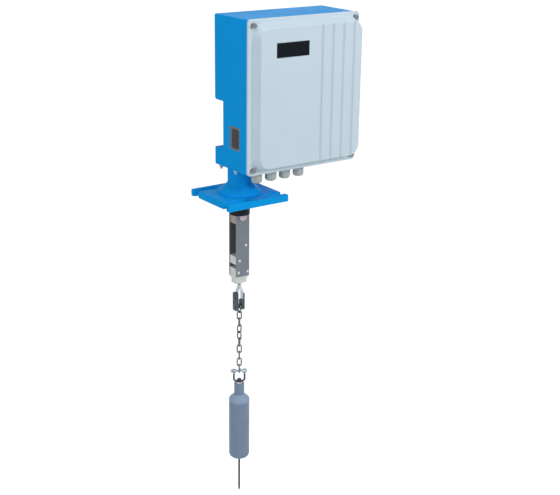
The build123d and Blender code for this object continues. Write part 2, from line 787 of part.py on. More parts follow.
def make_side_plate():
    low = house_bottom + PLATE_RISE
    return block(
        (house_left - LABEL_THICK, house_left),
        (-PLATE_BACK - PLATE_WIDTH, -PLATE_BACK),
        (low, low + PLATE_HEIGHT),
    )


# Cable glands

def make_gland_bodies():
    hex_low = house_bottom - GLAND_HEX
    floor = house_bottom + FRONT_FLOOR
    inside = floor + GLAND_INSIDE
    body = hexagon(GLAND_ACROSS, (hex_low, house_bottom))
    body += rod_z(0, 0, GLAND_THREAD, (hex_low, inside))
    body += hexagon(GLAND_ACROSS, (floor, floor + GLAND_LOCKNUT))
    body -= rod_z(0, 0, GLAND_BORE, (hex_low - CUT, inside + CUT))
    return Compound([Pos(x, y, 0) * body for x, y in gland_places()])


def make_gland_nuts():
    top = house_bottom - GLAND_HEX
    low = top - GLAND_NUT_LENGTH
    nut = turned(
        [(0, low), (GLAND_NUT, low), (GLAND_NUT, top), (0, top)], {1: GLAND_DOME, 2: GLAND_NUT_EDGE}
    )
    nut -= rod_z(0, 0, GLAND_BORE, (low - CUT, top + CUT))
    nut -= rod_z(0, 0, GLAND_NUT - GLAND_NUT_WALL, (low + GLAND_DOME, top - GLAND_NUT_RIM))
    return Compound([Pos(x, y, 0) * nut for x, y in gland_places()])


def make_gland_plugs():
    low = house_bottom - GLAND_HEX - GLAND_NUT_LENGTH + GLAND_PLUG_INSET
    plug = rod_z(0, 0, GLAND_BORE, (low, low + GLAND_PLUG))
    return Compound([Pos(x, y, 0) * plug for x, y in gland_places()])


# Seal collar and tape stripper

def make_seal_collar():
    return turned(
        [
            (SLEEVE_RADIUS, COLLAR_FLANGE_THICK),
            (COLLAR_FLANGE, COLLAR_FLANGE_THICK),
            (COLLAR_FLANGE, COLLAR_SINK),
            (COLLAR_RADIUS, COLLAR_SINK),
            (COLLAR_RADIUS, -COLLAR_LENGTH),
            (SLEEVE_RADIUS, -COLLAR_LENGTH),
        ],
        {4: COLLAR_EDGE},
    )


def make_stripper_sleeve():
    sleeve = rod_z(0, 0, SLEEVE_RADIUS, (channel_top - SLEEVE_REACH, COLLAR_FLANGE_THICK))
    sleeve -= rod_z(0, 0, SLEEVE_BORE, (channel_top - SLEEVE_REACH - CUT, COLLAR_FLANGE_THICK + CUT))
    height = channel_top - SHOULDER_DROP
    for side in (-1, 1):
        limits = sorted((side * (SLEEVE_BORE - CUT), side * (SLEEVE_RADIUS + CUT)))
        sleeve -= rod_y(0, height, SHOULDER_RADIUS, limits)
    return sleeve


def stripper_screw_places():
    """Centres of the small screws on the channel's plates, in X and Z."""
    return [
        SPACER_PLACE,
        (-UPPER_SCREW_LEFT, upper_screw_height),
        (-LOWER_SCREW_SIDE, lower_screw_height),
        (LOWER_SCREW_SIDE, lower_screw_height),
    ]


def make_stripper_channel():
    half_width = CHANNEL_WIDTH / 2
    half_depth = CHANNEL_DEPTH / 2
    across = (-half_width - CUT, half_width + CUT)
    through = (-half_depth - CUT, half_depth + CUT)
    limits = (channel_bottom - CHANNEL_SLANT, channel_top)
    shell = block((-half_width, half_width), (-half_depth, half_depth), limits)
    web = [edge for edge in shell.edges().filter_by(Axis.Z) if edge.center().X > 0]
    shell = fillet(web, CHANNEL_BEND)
    inner = block((across[0], half_width - CHANNEL_SHEET), (-channel_inner, channel_inner), limits)
    web = [edge for edge in inner.edges().filter_by(Axis.Z) if edge.center().X > 0]
    shell -= fillet(web, CHANNEL_BEND - CHANNEL_SHEET)

    # The front plate ends a little above the back one; both have a round lower left corner
    shell -= block(across, (through[0], 0), (limits[0] - CUT, channel_bottom))
    free = [
        edge
        for edge in shell.edges().filter_by(Axis.Y)
        if edge.center().X < CUT - half_width and edge.center().Z < channel_bottom + CUT
    ]
    shell = fillet(free, CHANNEL_SLANT)
    for x, z in stripper_screw_places():
        shell -= rod_y(x, z, SCREW_SHANK + SLIP, through)
    shell -= rod_x(0, upper_screw_height, SCREW_SHANK + SLIP, (half_width - CHANNEL_SHEET - CUT, across[1]))
    shell -= rod_y(0, channel_top - SHOULDER_DROP, SHOULDER_RADIUS + SLIP, through)
    return shell


def make_shoulder_screws():
    """Two pins that hang the channel on the sleeve; their heads are cut flat under the collar."""
    half_depth = CHANNEL_DEPTH / 2
    head = Pos(0, 0, SHOULDER_RISE) * dome_head(SHOULDER_HEAD, SHOULDER_RIM, SHOULDER_HEAD_THICK)
    head -= block(
        (-SHOULDER_HEAD, SHOULDER_HEAD),
        (-SHOULDER_HEAD_THICK - CUT, CUT),
        (SHOULDER_DROP, SHOULDER_RISE + SHOULDER_HEAD),
    )
    head += rod_y(0, 0, SHOULDER_RADIUS, (-SHOULDER_RIM, half_depth - SLEEVE_BORE - FILM))
    front = Pos(0, -half_depth, channel_top - SHOULDER_DROP) * head
    return Compound([front, Rot(0, 0, 180) * front])


def make_stripper_screws():
    half_depth = CHANNEL_DEPTH / 2
    screw = dome_head(SCREW_HEAD, SCREW_RIM, SCREW_HEAD_THICK)
    screw += rod_y(0, 0, SCREW_SHANK, (-SCREW_RIM, SCREW_DEPTH))
    places = stripper_screw_places()
    front = [Pos(x, -half_depth, z) * screw for x, z in places]
    back = [Pos(x, half_depth, z) * (Rot(0, 0, 180) * screw) for x, z in places]
    web = Pos(CHANNEL_WIDTH / 2, 0, upper_screw_height) * (Rot(0, 0, 90) * screw)
    return Compound(front + back + [web])


def make_stripper_spacer():
    x, z = SPACER_PLACE
    spacer = rod_y(x, z, SPACER_RADIUS, (-channel_inner, channel_inner))
    for side in (-1, 1):
        spacer -= rod_y(x, z, SCREW_SHANK, screw_thread(side))
    return spacer


def screw_thread(side):
    """Where a small screw's thread begins and ends behind the front (-1) or back (1) plate."""
    return sorted((side * (channel_inner + CUT), side * (channel_inner - SCREW_DEPTH + CHANNEL_SHEET - CUT)))


def scraper_halves(shape, places):
    """Both halves of a scraper block, cut apart along the tape's slit."""
    for x, z in places:
        for side in (-1, 1):
            shape -= rod_y(x, z, SCREW_SHANK, screw_thread(side))
    low, high = shape.bounding_box().min.Z - CUT, shape.bounding_box().max.Z + CUT
    slit = TAPE_SLIT / 2
    shape -= block((-slit, slit), (-CHANNEL_DEPTH, CHANNEL_DEPTH), (low, high))
    return Compound(shape.solids())


def make_upper_scraper():
    right = CHANNEL_WIDTH / 2 - CHANNEL_SHEET
    top = -UPPER_BLOCK_TOP
    body = block((-BLOCK_REACH, right), (-channel_inner, channel_inner), (top - UPPER_BLOCK_HEIGHT, top))
    right_edges = [edge for edge in body.edges().filter_by(Axis.Z) if edge.center().X > 0]
    body = fillet(right_edges, CHANNEL_BEND - CHANNEL_SHEET)
    thread_end = CHANNEL_WIDTH / 2 - SCREW_DEPTH - CUT
    body -= rod_x(0, upper_screw_height, SCREW_SHANK, (thread_end, right + CUT))
    return scraper_halves(body, stripper_screw_places()[1:2])


def make_lower_scraper():
    right = CHANNEL_WIDTH / 2 - CHANNEL_SHEET
    top = -LOWER_BLOCK_TOP
    low = top - LOWER_BLOCK_HEIGHT
    body = block((-BLOCK_REACH, right), (-channel_inner, channel_inner), (low, top))
    right_edges = [edge for edge in body.edges().filter_by(Axis.Z) if edge.center().X > 0]
    body = fillet(right_edges, CHANNEL_BEND - CHANNEL_SHEET)
    half_nose = channel_inner - NOSE_INSET
    nose_x = (-BLOCK_REACH + NOSE_STEP, BLOCK_REACH - NOSE_INSET)
    nose = block(nose_x, (-half_nose, half_nose), (low - NOSE_HEIGHT, low + CUT))
    nose = fillet(nose.faces().sort_by(Axis.Z)[0].edges(), NOSE_ROUND)
    return scraper_halves(body + nose, stripper_screw_places()[2:])


# Tape, its hanger and the chain

def make_tape_run():
    half = TAPE_THICK / 2
    tape = block((-half, half), (-TAPE_WIDTH / 2, TAPE_WIDTH / 2), (hanger_top - HANGER_NIP, wheel_up))
    return tape - rod_x(0, hanger_top - HANGER_NIP / 2, RIVET_RADIUS, (-1, 1))


def make_hanger_strips():
    start = TAPE_THICK / 2 + FILM + HANGER_SHEET / 2
    strip_line = FilletPolyline(
        (start, hanger_top),
        (start, hanger_top - HANGER_NIP),
        (HANGER_SPREAD, hanger_top - HANGER_NIP - HANGER_SLOPE),
        (HANGER_SPREAD, cheek_bottom + CHEEK_WEB),
        radius=HANGER_BEND,
    )
    strip = extrude(Plane.XZ * trace(strip_line, HANGER_SHEET), HANGER_WIDTH / 2, both=True)
    strip -= rod_x(0, hanger_top - HANGER_NIP / 2, RIVET_RADIUS, (0, HANGER_SPREAD))
    through = (HANGER_SPREAD - HANGER_SHEET, HANGER_SPREAD + HANGER_SHEET)
    strip -= rod_x(0, pin_height, PIN_RADIUS, through)
    left = strip - rod_x(0, -CHEEK_SCREW_DROP, PIN_RADIUS, through)
    return Compound([strip, mirror(left, Plane.YZ)])


def cheek(x_limits, width, height):
    """A cheek block on one leg of the hanger, bored for the pin."""
    body = block(x_limits, (-width / 2, width / 2), (cheek_bottom, cheek_bottom + height))
    body = fillet(body.edges().filter_by(Axis.X), CHEEK_EDGE)
    return body - rod_x(0, pin_height, PIN_RADIUS, (-cheek_outer - CUT, cheek_outer + CUT))


def make_left_cheek():
    """The tall cheek outside the left leg."""
    body = cheek((-cheek_outer, -strip_outer), LEFT_CHEEK_WIDTH, LEFT_CHEEK_HEIGHT)
    return body - rod_x(0, -CHEEK_SCREW_DROP, PIN_RADIUS, (-cheek_outer - CUT, 0))


def make_right_cheek():
    """The cheek that grips the right leg's foot, short inside it and taller outside."""
    strip_inner = strip_outer - HANGER_SHEET
    outer = strip_outer + RIGHT_CHEEK_THICK
    body = cheek((strip_inner - RIGHT_CHEEK_THICK, outer), RIGHT_CHEEK_WIDTH, RIGHT_PLATE_HEIGHT)
    across = (-RIGHT_CHEEK_WIDTH, RIGHT_CHEEK_WIDTH)
    top = cheek_bottom + RIGHT_PLATE_HEIGHT + CUT
    body -= block((strip_inner, strip_outer), across, (cheek_bottom + CHEEK_WEB, top))
    return body - block((0, strip_outer), across, (cheek_bottom + RIGHT_CHEEK_HEIGHT, top))


def make_hanger_pin():
    right = strip_outer + RIGHT_CHEEK_THICK
    pin = rod_x(0, pin_height, PIN_RADIUS, (-cheek_outer, right))
    pin += rod_x(0, pin_height, PIN_HEAD, (-cheek_outer - PIN_HEAD_THICK, -cheek_outer))
    return pin + rod_x(0, pin_height, PIN_HEAD, (right, right + PIN_HEAD_THICK))


def make_hanger_screws():
    """The screw through the left cheek and its leg, and the rivet through the tape."""
    height = -CHEEK_SCREW_DROP
    screw = rod_x(0, height, PIN_HEAD, (-cheek_outer - PIN_HEAD_THICK, -cheek_outer))
    screw += rod_x(0, height, PIN_RADIUS, (-cheek_outer, -HANGER_SPREAD + HANGER_SHEET / 2))
    rivet_height = hanger_top - HANGER_NIP / 2
    nip = TAPE_THICK / 2 + FILM + HANGER_SHEET
    rivet = rod_x(0, rivet_height, RIVET_RADIUS, (-nip, nip))
    for side in (-1, 1):
        limits = sorted((side * nip, side * (nip + RIVET_HEAD_THICK)))
        rivet += rod_x(0, rivet_height, RIVET_HEAD, limits)
    return Compound([screw, rivet])


def link_turn(index):
    """How far a link's open plane is turned from X, about Z."""
    twisted = min(max(index - TWIST_AFTER, 0), TWISTED_LINKS)
    settled = FIRST_TWIST if index else 0.0
    return 90.0 * (index + 1) + settled + LINK_TWIST * twisted


def make_link(index):
    half_width = LINK_INNER_WIDTH / 2 + LINK_WIRE
    straight = LINK_INNER_LENGTH / 2 - LINK_INNER_WIDTH / 2
    lower = Pos(0, 0, -straight) * revolve(Pos(half_width, 0) * Circle(LINK_WIRE), Axis.Y, 180)
    link = lower + mirror(lower, Plane.XY)
    for side in (-1, 1):
        link += rod_z(side * half_width, 0, LINK_WIRE, (-straight, straight))
    return Pos(0, 0, first_link - link_pitch * index) * Rot(0, 0, link_turn(index)) * link


# Shackle

def make_shackle_bow():
    half = SHACKLE_REACH
    route = FilletPolyline(
        (-half, shackle_height),
        (-half, bow_height),
        (half, bow_height),
        (half, shackle_height),
        radius=SHACKLE_BEND,
    )
    path = Plane.XZ * route
    section = Plane(origin=path @ 0, z_dir=path % 0) * Circle(SHACKLE_BAR)
    bow = sweep(section, path)
    middle = half + SHACKLE_EYE_OUT - SHACKLE_EYE_THICK / 2
    eye = fillet(Cone(SHACKLE_EYE_NECK, SHACKLE_EYE, SHACKLE_EYE_THICK).edges(), SHACKLE_EYE_EDGE)
    for side in (-1, 1):
        bow += Pos(side * middle, 0, shackle_height) * Rot(0, side * 90, 0) * eye
    bow -= rod_x(0, shackle_height, SHACKLE_PIN, (-2 * half, 2 * half))
    return Rot(0, 0, HANG_TURN) * bow


def make_shackle_pin():
    outer = SHACKLE_REACH + SHACKLE_EYE_OUT
    pin = rod_x(0, shackle_height, SHACKLE_PIN, (-outer - CUT, outer + SHACKLE_PIN_TAIL))
    head = rod_x(0, shackle_height, SHACKLE_PIN_HEAD, (-outer - SHACKLE_PIN_HEAD_THICK, -outer))
    pin += fillet(head.edges(), SHACKLE_PIN_EDGE)
    split_x = outer + SHACKLE_PIN_TAIL / 2
    split_limits = (shackle_height - SPLIT_PIN_REACH, shackle_height + SPLIT_PIN_REACH)
    split = rod_z(split_x, 0, SPLIT_PIN, split_limits)
    turn = Rot(0, 0, HANG_TURN)
    return Compound([turn * (pin - split), turn * split])


# Sounding weight

def make_sounding_weight():
    neck_low = weight_top - WEIGHT_NECK_LENGTH
    shoulder_low = neck_low - WEIGHT_SHOULDER
    foot = weight_foot - WEIGHT_FOOT_CONE
    body = turned(
        [
            (0, foot),
            (WEIGHT_RADIUS, weight_foot),
            (WEIGHT_RADIUS, shoulder_low),
            (WEIGHT_NECK, neck_low),
            (WEIGHT_NECK, weight_top),
            (0, weight_top),
        ],
        {
            1: WEIGHT_FOOT_ROUND,
            2: WEIGHT_SHOULDER_ROUND,
            3: WEIGHT_SHOULDER_ROUND / 2,
            4: WEIGHT_NECK_EDGE,
        },
    )
    body -= rod_z(0, 0, LUG_STUD, (weight_top - LUG_THREAD, weight_top + CUT))
    return body - rod_z(0, 0, SPIKE_RADIUS, (foot - CUT, foot + SPIKE_THREAD))


def make_weight_eye():
    """The steel lug on the weight's neck, bored for the shackle's bow, on its own stud."""
    lug_top = weight_top + LUG_HEIGHT
    stud_low = weight_top - LUG_THREAD + CUT
    lug = turned(
        [
            (0, stud_low),
            (LUG_STUD, stud_low),
            (LUG_STUD, weight_top),
            (LUG_RADIUS, weight_top),
            (LUG_CROWN, lug_top),
            (0, lug_top),
        ],
        {4: LUG_ROUND},
    )
    return lug - Rot(0, 0, HANG_TURN) * rod_x(0, lug_hole_height, LUG_HOLE, (-2 * LUG_RADIUS, 2 * LUG_RADIUS))


def make_weight_spike():
    foot = weight_foot - WEIGHT_FOOT_CONE
    point = foot - SPIKE_LENGTH
    thread_end = foot + SPIKE_THREAD - CUT
    return turned(
        [
            (0, point),
            (SPIKE_TIP, point),
            (SPIKE_RADIUS, point + SPIKE_POINT),
            (SPIKE_RADIUS, thread_end),
            (0, thread_end),
        ]
    )


# Tape drum and gear drive

def drum_faces():
    """The drum's front and back faces along Y, either side of the tape."""
    half = TAPE_WIDTH / 2 + GAP + DRUM_SHEET
    return -half, half


def make_tape_drum():
    front, back = drum_faces()
    seat = bearing_faces()[1][1] + GAP
    drum = turned_y(
        [
            (SHAFT_RADIUS, seat),
            (DRUM_HUB, seat),
            (DRUM_HUB, front),
            (DRUM_FLANGE, front),
            (DRUM_FLANGE, front + DRUM_SHEET),
            (DRUM_CORE, front + DRUM_SHEET),
            (DRUM_CORE, back - DRUM_SHEET),
            (DRUM_FLANGE, back - DRUM_SHEET),
            (DRUM_FLANGE, back),
            (SHAFT_RADIUS, back),
        ]
    )
    middle = (DRUM_HUB + DRUM_CORE) / 2
    for i in range(DRUM_SPOKES):
        angle = 2 * pi * i / DRUM_SPOKES
        drum -= rod_y(middle * cos(angle), middle * sin(angle), DRUM_WINDOW, (front - CUT, back + CUT))
    return Pos(DRUM_RIGHT, 0, drum_up) * drum


def make_tape_coil():
    half = TAPE_WIDTH / 2
    coil = rod_y(0, 0, COIL_RADIUS, (-half, half)) - rod_y(0, 0, DRUM_CORE, (-half - CUT, half + CUT))
    return Pos(DRUM_RIGHT, 0, drum_up) * coil


def gear_front():
    return -GEAR_BACK - GEAR_WIDTH


def make_drum_shaft():
    limits = (gear_front() - SHAFT_NOSE, drum_faces()[1] + SHAFT_TAIL)
    return rod_y(DRUM_RIGHT, drum_up, SHAFT_RADIUS - RUNNING, limits)


def make_drum_bearings():
    bearings = []
    for low, high in bearing_faces():
        ring = rod_y(0, 0, BEARING_RADIUS, (low, high)) - rod_y(0, 0, SHAFT_RADIUS, (low - CUT, high + CUT))
        groove = rod_y(0, 0, BEARING_RADIUS - BEARING_RING, (low - CUT, low + BEARING_SINK))
        groove -= rod_y(0, 0, SHAFT_RADIUS + BEARING_LAND, (low - 2 * CUT, low + BEARING_SINK + CUT))
        bearings.append(Pos(DRUM_RIGHT, 0, drum_up) * (ring - groove))
    return Compound(bearings)


def involute(base, radius):
    """Polar angle of an involute of the base circle where it reaches a radius."""
    if radius <= base:
        return 0.0
    roll = acos(base / radius)
    return tan(roll) - roll


def gear_outline(teeth):
    """A spur gear's outline, with its flanks as chords of the involute."""
    pitch = GEAR_MODULE * teeth / 2
    base = pitch * cos(radians(PRESSURE_ANGLE))
    tip = pitch + GEAR_MODULE * ADDENDUM
    root = pitch - GEAR_MODULE * DEDENDUM
    half = pi / (2 * teeth) - GEAR_BACKLASH / (4 * pitch) + involute(base, pitch)
    start = max(base, root)
    radii = [start, (start + 2 * pitch) / 3, (2 * pitch + tip) / 3, tip]
    points = []
    for tooth in range(teeth):
        middle = 2 * pi * tooth / teeth
        flank = [(r, half - involute(base, r)) for r in radii]
        side = [(root, half)] + flank if root < start else flank
        for r, angle in side:
            points.append((r * cos(middle - angle), r * sin(middle - angle)))
        for r, angle in reversed(side):
            points.append((r * cos(middle + angle), r * sin(middle + angle)))
    return make_face(Polyline(*points, close=True))


def spur_gear(teeth, turn):
    """A spur gear along Y at the gear drive's place, turned about its own axis."""
    solid = extrude(Plane.XZ * (Rot(0, 0, turn) * gear_outline(teeth)), GEAR_WIDTH)
    return Pos(0, -GEAR_BACK, 0) * solid


def pinion_place():
    distance = GEAR_MODULE * (GEAR_TEETH + PINION_TEETH) / 2 + GEAR_RELIEF
    angle = radians(PINION_ANGLE)
    return DRUM_RIGHT + distance * cos(angle), drum_up + distance * sin(angle)


def make_drum_gear():
    back = -GEAR_BACK + GEAR_HUB_LENGTH
    through = (gear_front() - CUT, back + CUT)
    gear = spur_gear(GEAR_TEETH, PINION_ANGLE)
    gear += rod_y(0, 0, GEAR_HUB, (-GEAR_BACK - CUT, back))
    middle = GEAR_MODULE * GEAR_TEETH / 4 + GEAR_HUB / 2
    for i in range(DRUM_SPOKES):
        angle = 2 * pi * i / DRUM_SPOKES
        gear -= rod_y(middle * cos(angle), middle * sin(angle), DRUM_WINDOW, through)
    gear -= rod_y(0, 0, SHAFT_RADIUS - RUNNING, through)
    return Pos(DRUM_RIGHT, 0, drum_up) * gear


def make_motor_pinion():
    x, z = pinion_place()
    half_tooth = 180.0 / PINION_TEETH
    pinion = spur_gear(PINION_TEETH, 180.0 + PINION_ANGLE + half_tooth)
    pinion += rod_y(0, 0, PINION_SHAFT, (gear_front() + CUT, -BRACKET_BACK + GEAR_HUB_LENGTH))
    return Pos(x, 0, z) * pinion


def make_gear_motor():
    x, z = pinion_place()
    half = GEARBOX_SIDE / 2
    front = -BRACKET_BACK
    back = front + GEARBOX_DEPTH
    middle = (front + back) / 2
    box = block((x - half, x + half), (front, back), (z - half, z + half))
    box = fillet(box.edges().filter_by(Axis.Y), GEARBOX_EDGE)
    cap_end = house_right - HOUSE_WALL - MOTOR_ROOM
    can_end = cap_end - MOTOR_CAP
    box += rod_x(middle, z, MOTOR_RADIUS, (x + half - CUT, can_end))
    cap = rod_x(middle, z, MOTOR_CAP_RADIUS, (can_end, cap_end))
    box += fillet(cap.faces().sort_by(Axis.X)[-1].edges(), MOTOR_CAP_EDGE)
    box -= rod_y(x, z, PINION_SHAFT + RUNNING, (front - CUT, front + GEAR_HUB_LENGTH + CUT))
    return box


def make_motor_bracket():
    x, z = pinion_place()
    half_width, half_height = BRACKET_WIDTH / 2, BRACKET_HEIGHT / 2
    back = -BRACKET_BACK
    front = back - BRACKET_THICK
    plate = block((x - half_width, x + half_width), (front, back), (z - half_height, z + half_height))
    plate = fillet(plate.edges().filter_by(Axis.Y), BRACKET_CORNER)
    plate -= rod_y(x, z, PINION_SHAFT + SHAFT_ROOM, (front - CUT, back + CUT))
    for dx, dz in corners(half_width - PILLAR_INSET, half_height - PILLAR_INSET):
        plate += rod_y(x + dx, z + dz, PILLAR_RADIUS, (back - CUT, partition_front))
    return plate


# Measuring wheel and tension arm

def drum_direction():
    """Angle and length of the line from the wheel's centre to the drum's."""
    across = DRUM_RIGHT - wheel_right
    rise = drum_up - wheel_up
    return atan2(rise, across), sqrt(across ** 2 + rise ** 2)


def lead_normal():
    """Angle at which the tape leaves the wheel's top towards the coil's top."""
    angle, distance = drum_direction()
    wheel = WHEEL_RADIUS + GAP + TAPE_THICK / 2
    coil = COIL_RADIUS + GAP + TAPE_THICK / 2
    return angle + acos((wheel - coil) / distance)


def make_tape_lead():
    normal = lead_normal()
    wheel = WHEEL_RADIUS + GAP + TAPE_THICK / 2
    coil = COIL_RADIUS + GAP + TAPE_THICK / 2
    sweep_angle = degrees(normal)
    arc = CenterArc((wheel_right, wheel_up), wheel, sweep_angle, 180.0 - sweep_angle)
    wheel_end = (wheel_right + wheel * cos(normal), wheel_up + wheel * sin(normal))
    coil_end = (DRUM_RIGHT + coil * cos(normal), drum_up + coil * sin(normal))
    straight = Line(wheel_end, coil_end)
    strip = trace(arc, TAPE_THICK) + trace(straight, TAPE_THICK)
    return extrude(Plane.XZ * strip, TAPE_WIDTH / 2, both=True)


def make_tension_arm():
    arm_limits = (ARM_BACK, ARM_BACK + ARM_THICK)
    low, high = wheel_up - ARM_HEIGHT / 2, wheel_up + ARM_HEIGHT / 2
    tip = ARM_TIP + SPRING_RADIUS + SPRING_WIRE
    arm = block((-ARM_PIVOT_LEFT, tip), arm_limits, (low, high))
    arm += rod_y(-ARM_PIVOT_LEFT, wheel_up, ARM_HUB, arm_limits)
    arm += rod_y(wheel_right, wheel_up, WHEEL_HUB, arm_limits)
    finger = (-ARM_PIVOT_LEFT - FINGER_WIDTH / 2, -ARM_PIVOT_LEFT + FINGER_WIDTH / 2)
    arm += block(finger, arm_limits, (wheel_up, wheel_up + FINGER_HEIGHT))
    reach = SPRING_RADIUS + SPRING_WIRE + SHOE_MARGIN
    middle = ARM_BACK + ARM_THICK / 2
    arm += block((ARM_TIP - reach, tip), (middle - reach, middle + reach), (low, low + SHOE_THICK))
    axle_front = -WHEEL_WIDTH / 2 - DISC_GAP - AXLE_COLLAR_THICK / 2
    arm += rod_y(wheel_right, wheel_up, AXLE_RADIUS - RUNNING, (axle_front, ARM_BACK + CUT))
    arm += rod_y(wheel_right, wheel_up, AXLE_COLLAR, (axle_front - AXLE_COLLAR_THICK, axle_front))
    pivot_y = (ARM_BACK - CUT, ARM_BACK + ARM_THICK + CUT)
    arm -= rod_y(-ARM_PIVOT_LEFT, wheel_up, AXLE_RADIUS + RUNNING, pivot_y)
    return arm


def make_arm_pin():
    back = ARM_BACK + ARM_THICK + GAP
    pin = rod_y(-ARM_PIVOT_LEFT, wheel_up, AXLE_RADIUS, (partition_back, back))
    return pin + rod_y(-ARM_PIVOT_LEFT, wheel_up, PIVOT_COLLAR, (back, back + AXLE_COLLAR_THICK))


def make_measuring_wheel():
    half = WHEEL_WIDTH / 2
    disc_back = -half - DISC_GAP + DISC_THICK
    groove = TAPE_WIDTH / 2 + GAP
    wheel = turned_y(
        [
            (AXLE_RADIUS, disc_back),
            (WHEEL_HUB, disc_back),
            (WHEEL_HUB, -half),
            (WHEEL_RADIUS + WHEEL_RIM, -half),
            (WHEEL_RADIUS + WHEEL_RIM, -groove),
            (WHEEL_RADIUS, -groove),
            (WHEEL_RADIUS, groove),
            (WHEEL_RADIUS + WHEEL_RIM, groove),
            (WHEEL_RADIUS + WHEEL_RIM, half),
            (WHEEL_HUB, half),
            (WHEEL_HUB, ARM_BACK - GAP),
            (AXLE_RADIUS, ARM_BACK - GAP),
        ]
    )
    middle = (WHEEL_HUB + WHEEL_RADIUS) / 2
    for i in range(WHEEL_SPOKES):
        angle = 2 * pi * i / WHEEL_SPOKES
        wheel -= rod_y(middle * cos(angle), middle * sin(angle), WHEEL_WINDOW, (-half - CUT, half + CUT))
    return Pos(wheel_right, 0, wheel_up) * wheel


def make_pulse_disc():
    front = -WHEEL_WIDTH / 2 - DISC_GAP
    through = (front - CUT, front + DISC_THICK + CUT)
    slot_end = DISC_RADIUS - DISC_SLOT_INSET
    disc = rod_y(0, 0, DISC_RADIUS, (front, front + DISC_THICK))
    half_slot = DISC_SLOT_WIDTH / 2
    slot = block((slot_end - DISC_SLOT_LENGTH, slot_end), through, (-half_slot, half_slot))
    for i in range(DISC_SLOTS):
        disc -= Rot(0, 360.0 * i / DISC_SLOTS, 0) * slot
    disc -= rod_y(0, 0, AXLE_RADIUS + RUNNING, through)
    return Pos(wheel_right, 0, wheel_up) * disc


def make_pulse_sensor():
    front = -WHEEL_WIDTH / 2 - DISC_GAP
    back = front + DISC_THICK
    top = wheel_up - DISC_RADIUS + SENSOR_LAP
    low, high = wheel_right - SENSOR_WIDTH / 2, wheel_right + SENSOR_WIDTH / 2
    fork = block((low, high), (partition_back, back + SENSOR_PRONG), (top - SENSOR_HEIGHT, top))
    throat = (top - SENSOR_THROAT, top + CUT)
    return fork - block((low - CUT, high + CUT), (front - SENSOR_GAP, back + SENSOR_GAP), throat)


def make_arm_spring():
    """A coil spring between its seat on the housing and the arm's shoe."""
    low = spring_seat_height() + SPRING_WIRE
    length = SPRING_LENGTH - 2 * SPRING_WIRE
    path = Helix(length / SPRING_TURNS, length, SPRING_RADIUS)
    section = Plane(origin=path @ 0, z_dir=path % 0) * Circle(SPRING_WIRE)
    spring = sweep(section, path, is_frenet=True)
    return Pos(ARM_TIP, ARM_BACK + ARM_THICK / 2, low) * spring


def make_slack_switch():
    left = house_left + HOUSE_WALL
    top = wheel_up + FINGER_HEIGHT + SWITCH_RISE
    middle = ARM_BACK + ARM_THICK / 2
    half = SWITCH_DEPTH / 2
    return block((left, left + SWITCH_WIDTH), (middle - half, middle + half), (top - SWITCH_HEIGHT, top))


# Electronics

def board_limits():
    left = house_left + BOARD_LEFT
    low = house_bottom + BOARD_RISE
    return (left, left + BOARD_WIDTH), (low, low + BOARD_HEIGHT)


def make_circuit_board():
    x_limits, z_limits = board_limits()
    back = partition_front - BOARD_STAND
    return block(x_limits, (back - BOARD_THICK, back), z_limits)


def make_board_spacers():
    (x_low, x_high), (z_low, z_high) = board_limits()
    back = partition_front - BOARD_STAND
    inset = 2 * SPACER_POST
    places = [(x, z) for x in (x_low + inset, x_high - inset) for z in (z_low + inset, z_high - inset)]
    return Compound([rod_y(x, z, SPACER_POST, (back, partition_front)) for x, z in places])


def make_terminal_block():
    (x_low, _), (z_low, _) = board_limits()
    back = partition_front - BOARD_STAND - BOARD_THICK
    front = back - TERMINAL_DEPTH
    start = x_low + TERMINAL_LEFT
    low = z_low + TERMINAL_RISE
    body = block((start, start + TERMINALS * TERMINAL_PITCH), (front, back), (low, low + TERMINAL_HEIGHT))
    for i in range(TERMINALS):
        x = start + TERMINAL_PITCH * (i + 0.5)
        body -= rod_y(x, low + TERMINAL_SCREW_RISE, TERMINAL_BORE, (front - CUT, back - TERMINAL_FLOOR))
    return body


NODES = {
    "pedestal": make_pedestal,
    "pedestal_screws": make_pedestal_screws,
    "housing": make_housing,
    "rear_cover": make_rear_cover,
    "rear_cover_screws": make_rear_cover_screws,
    "front_cover": make_front_cover,
    "cover_screws": make_cover_screws,
    "front_label": make_front_label,
    "side_plate": make_side_plate,
    "gland_bodies": make_gland_bodies,
    "gland_nuts": make_gland_nuts,
    "gland_plugs": make_gland_plugs,
    "seal_collar": make_seal_collar,
    "stripper_sleeve": make_stripper_sleeve,
    "stripper_channel": make_stripper_channel,
    "shoulder_screws": make_shoulder_screws,
    "stripper_screws": make_stripper_screws,
    "stripper_spacer": make_stripper_spacer,
    "upper_scraper": make_upper_scraper,
    "lower_scraper": make_lower_scraper,
    "tape_run": make_tape_run,
    "hanger_strips": make_hanger_strips,
    "left_cheek": make_left_cheek,
    "right_cheek": make_right_cheek,
    "hanger_pin": make_hanger_pin,
    "hanger_screws": make_hanger_screws,
    "shackle_bow": make_shackle_bow,
    "shackle_pin": make_shackle_pin,
    "sounding_weight": make_sounding_weight,
    "weight_eye": make_weight_eye,
    "weight_spike": make_weight_spike,
    "tape_drum": make_tape_drum,
    "tape_coil": make_tape_coil,
    "drum_shaft": make_drum_shaft,
    "drum_bearings": make_drum_bearings,
    "drum_gear": make_drum_gear,
    "motor_pinion": make_motor_pinion,
    "gear_motor": make_gear_motor,
    "motor_bracket": make_motor_bracket,
    "tape_lead": make_tape_lead,
    "tension_arm": make_tension_arm,
    "arm_pin": make_arm_pin,
    "measuring_wheel": make_measuring_wheel,
    "pulse_disc": make_pulse_disc,
    "pulse_sensor": make_pulse_sensor,
    "arm_spring": make_arm_spring,
    "slack_switch": make_slack_switch,
    "circuit_board": make_circuit_board,
    "board_spacers": make_board_spacers,
    "terminal_block": make_terminal_block,
}


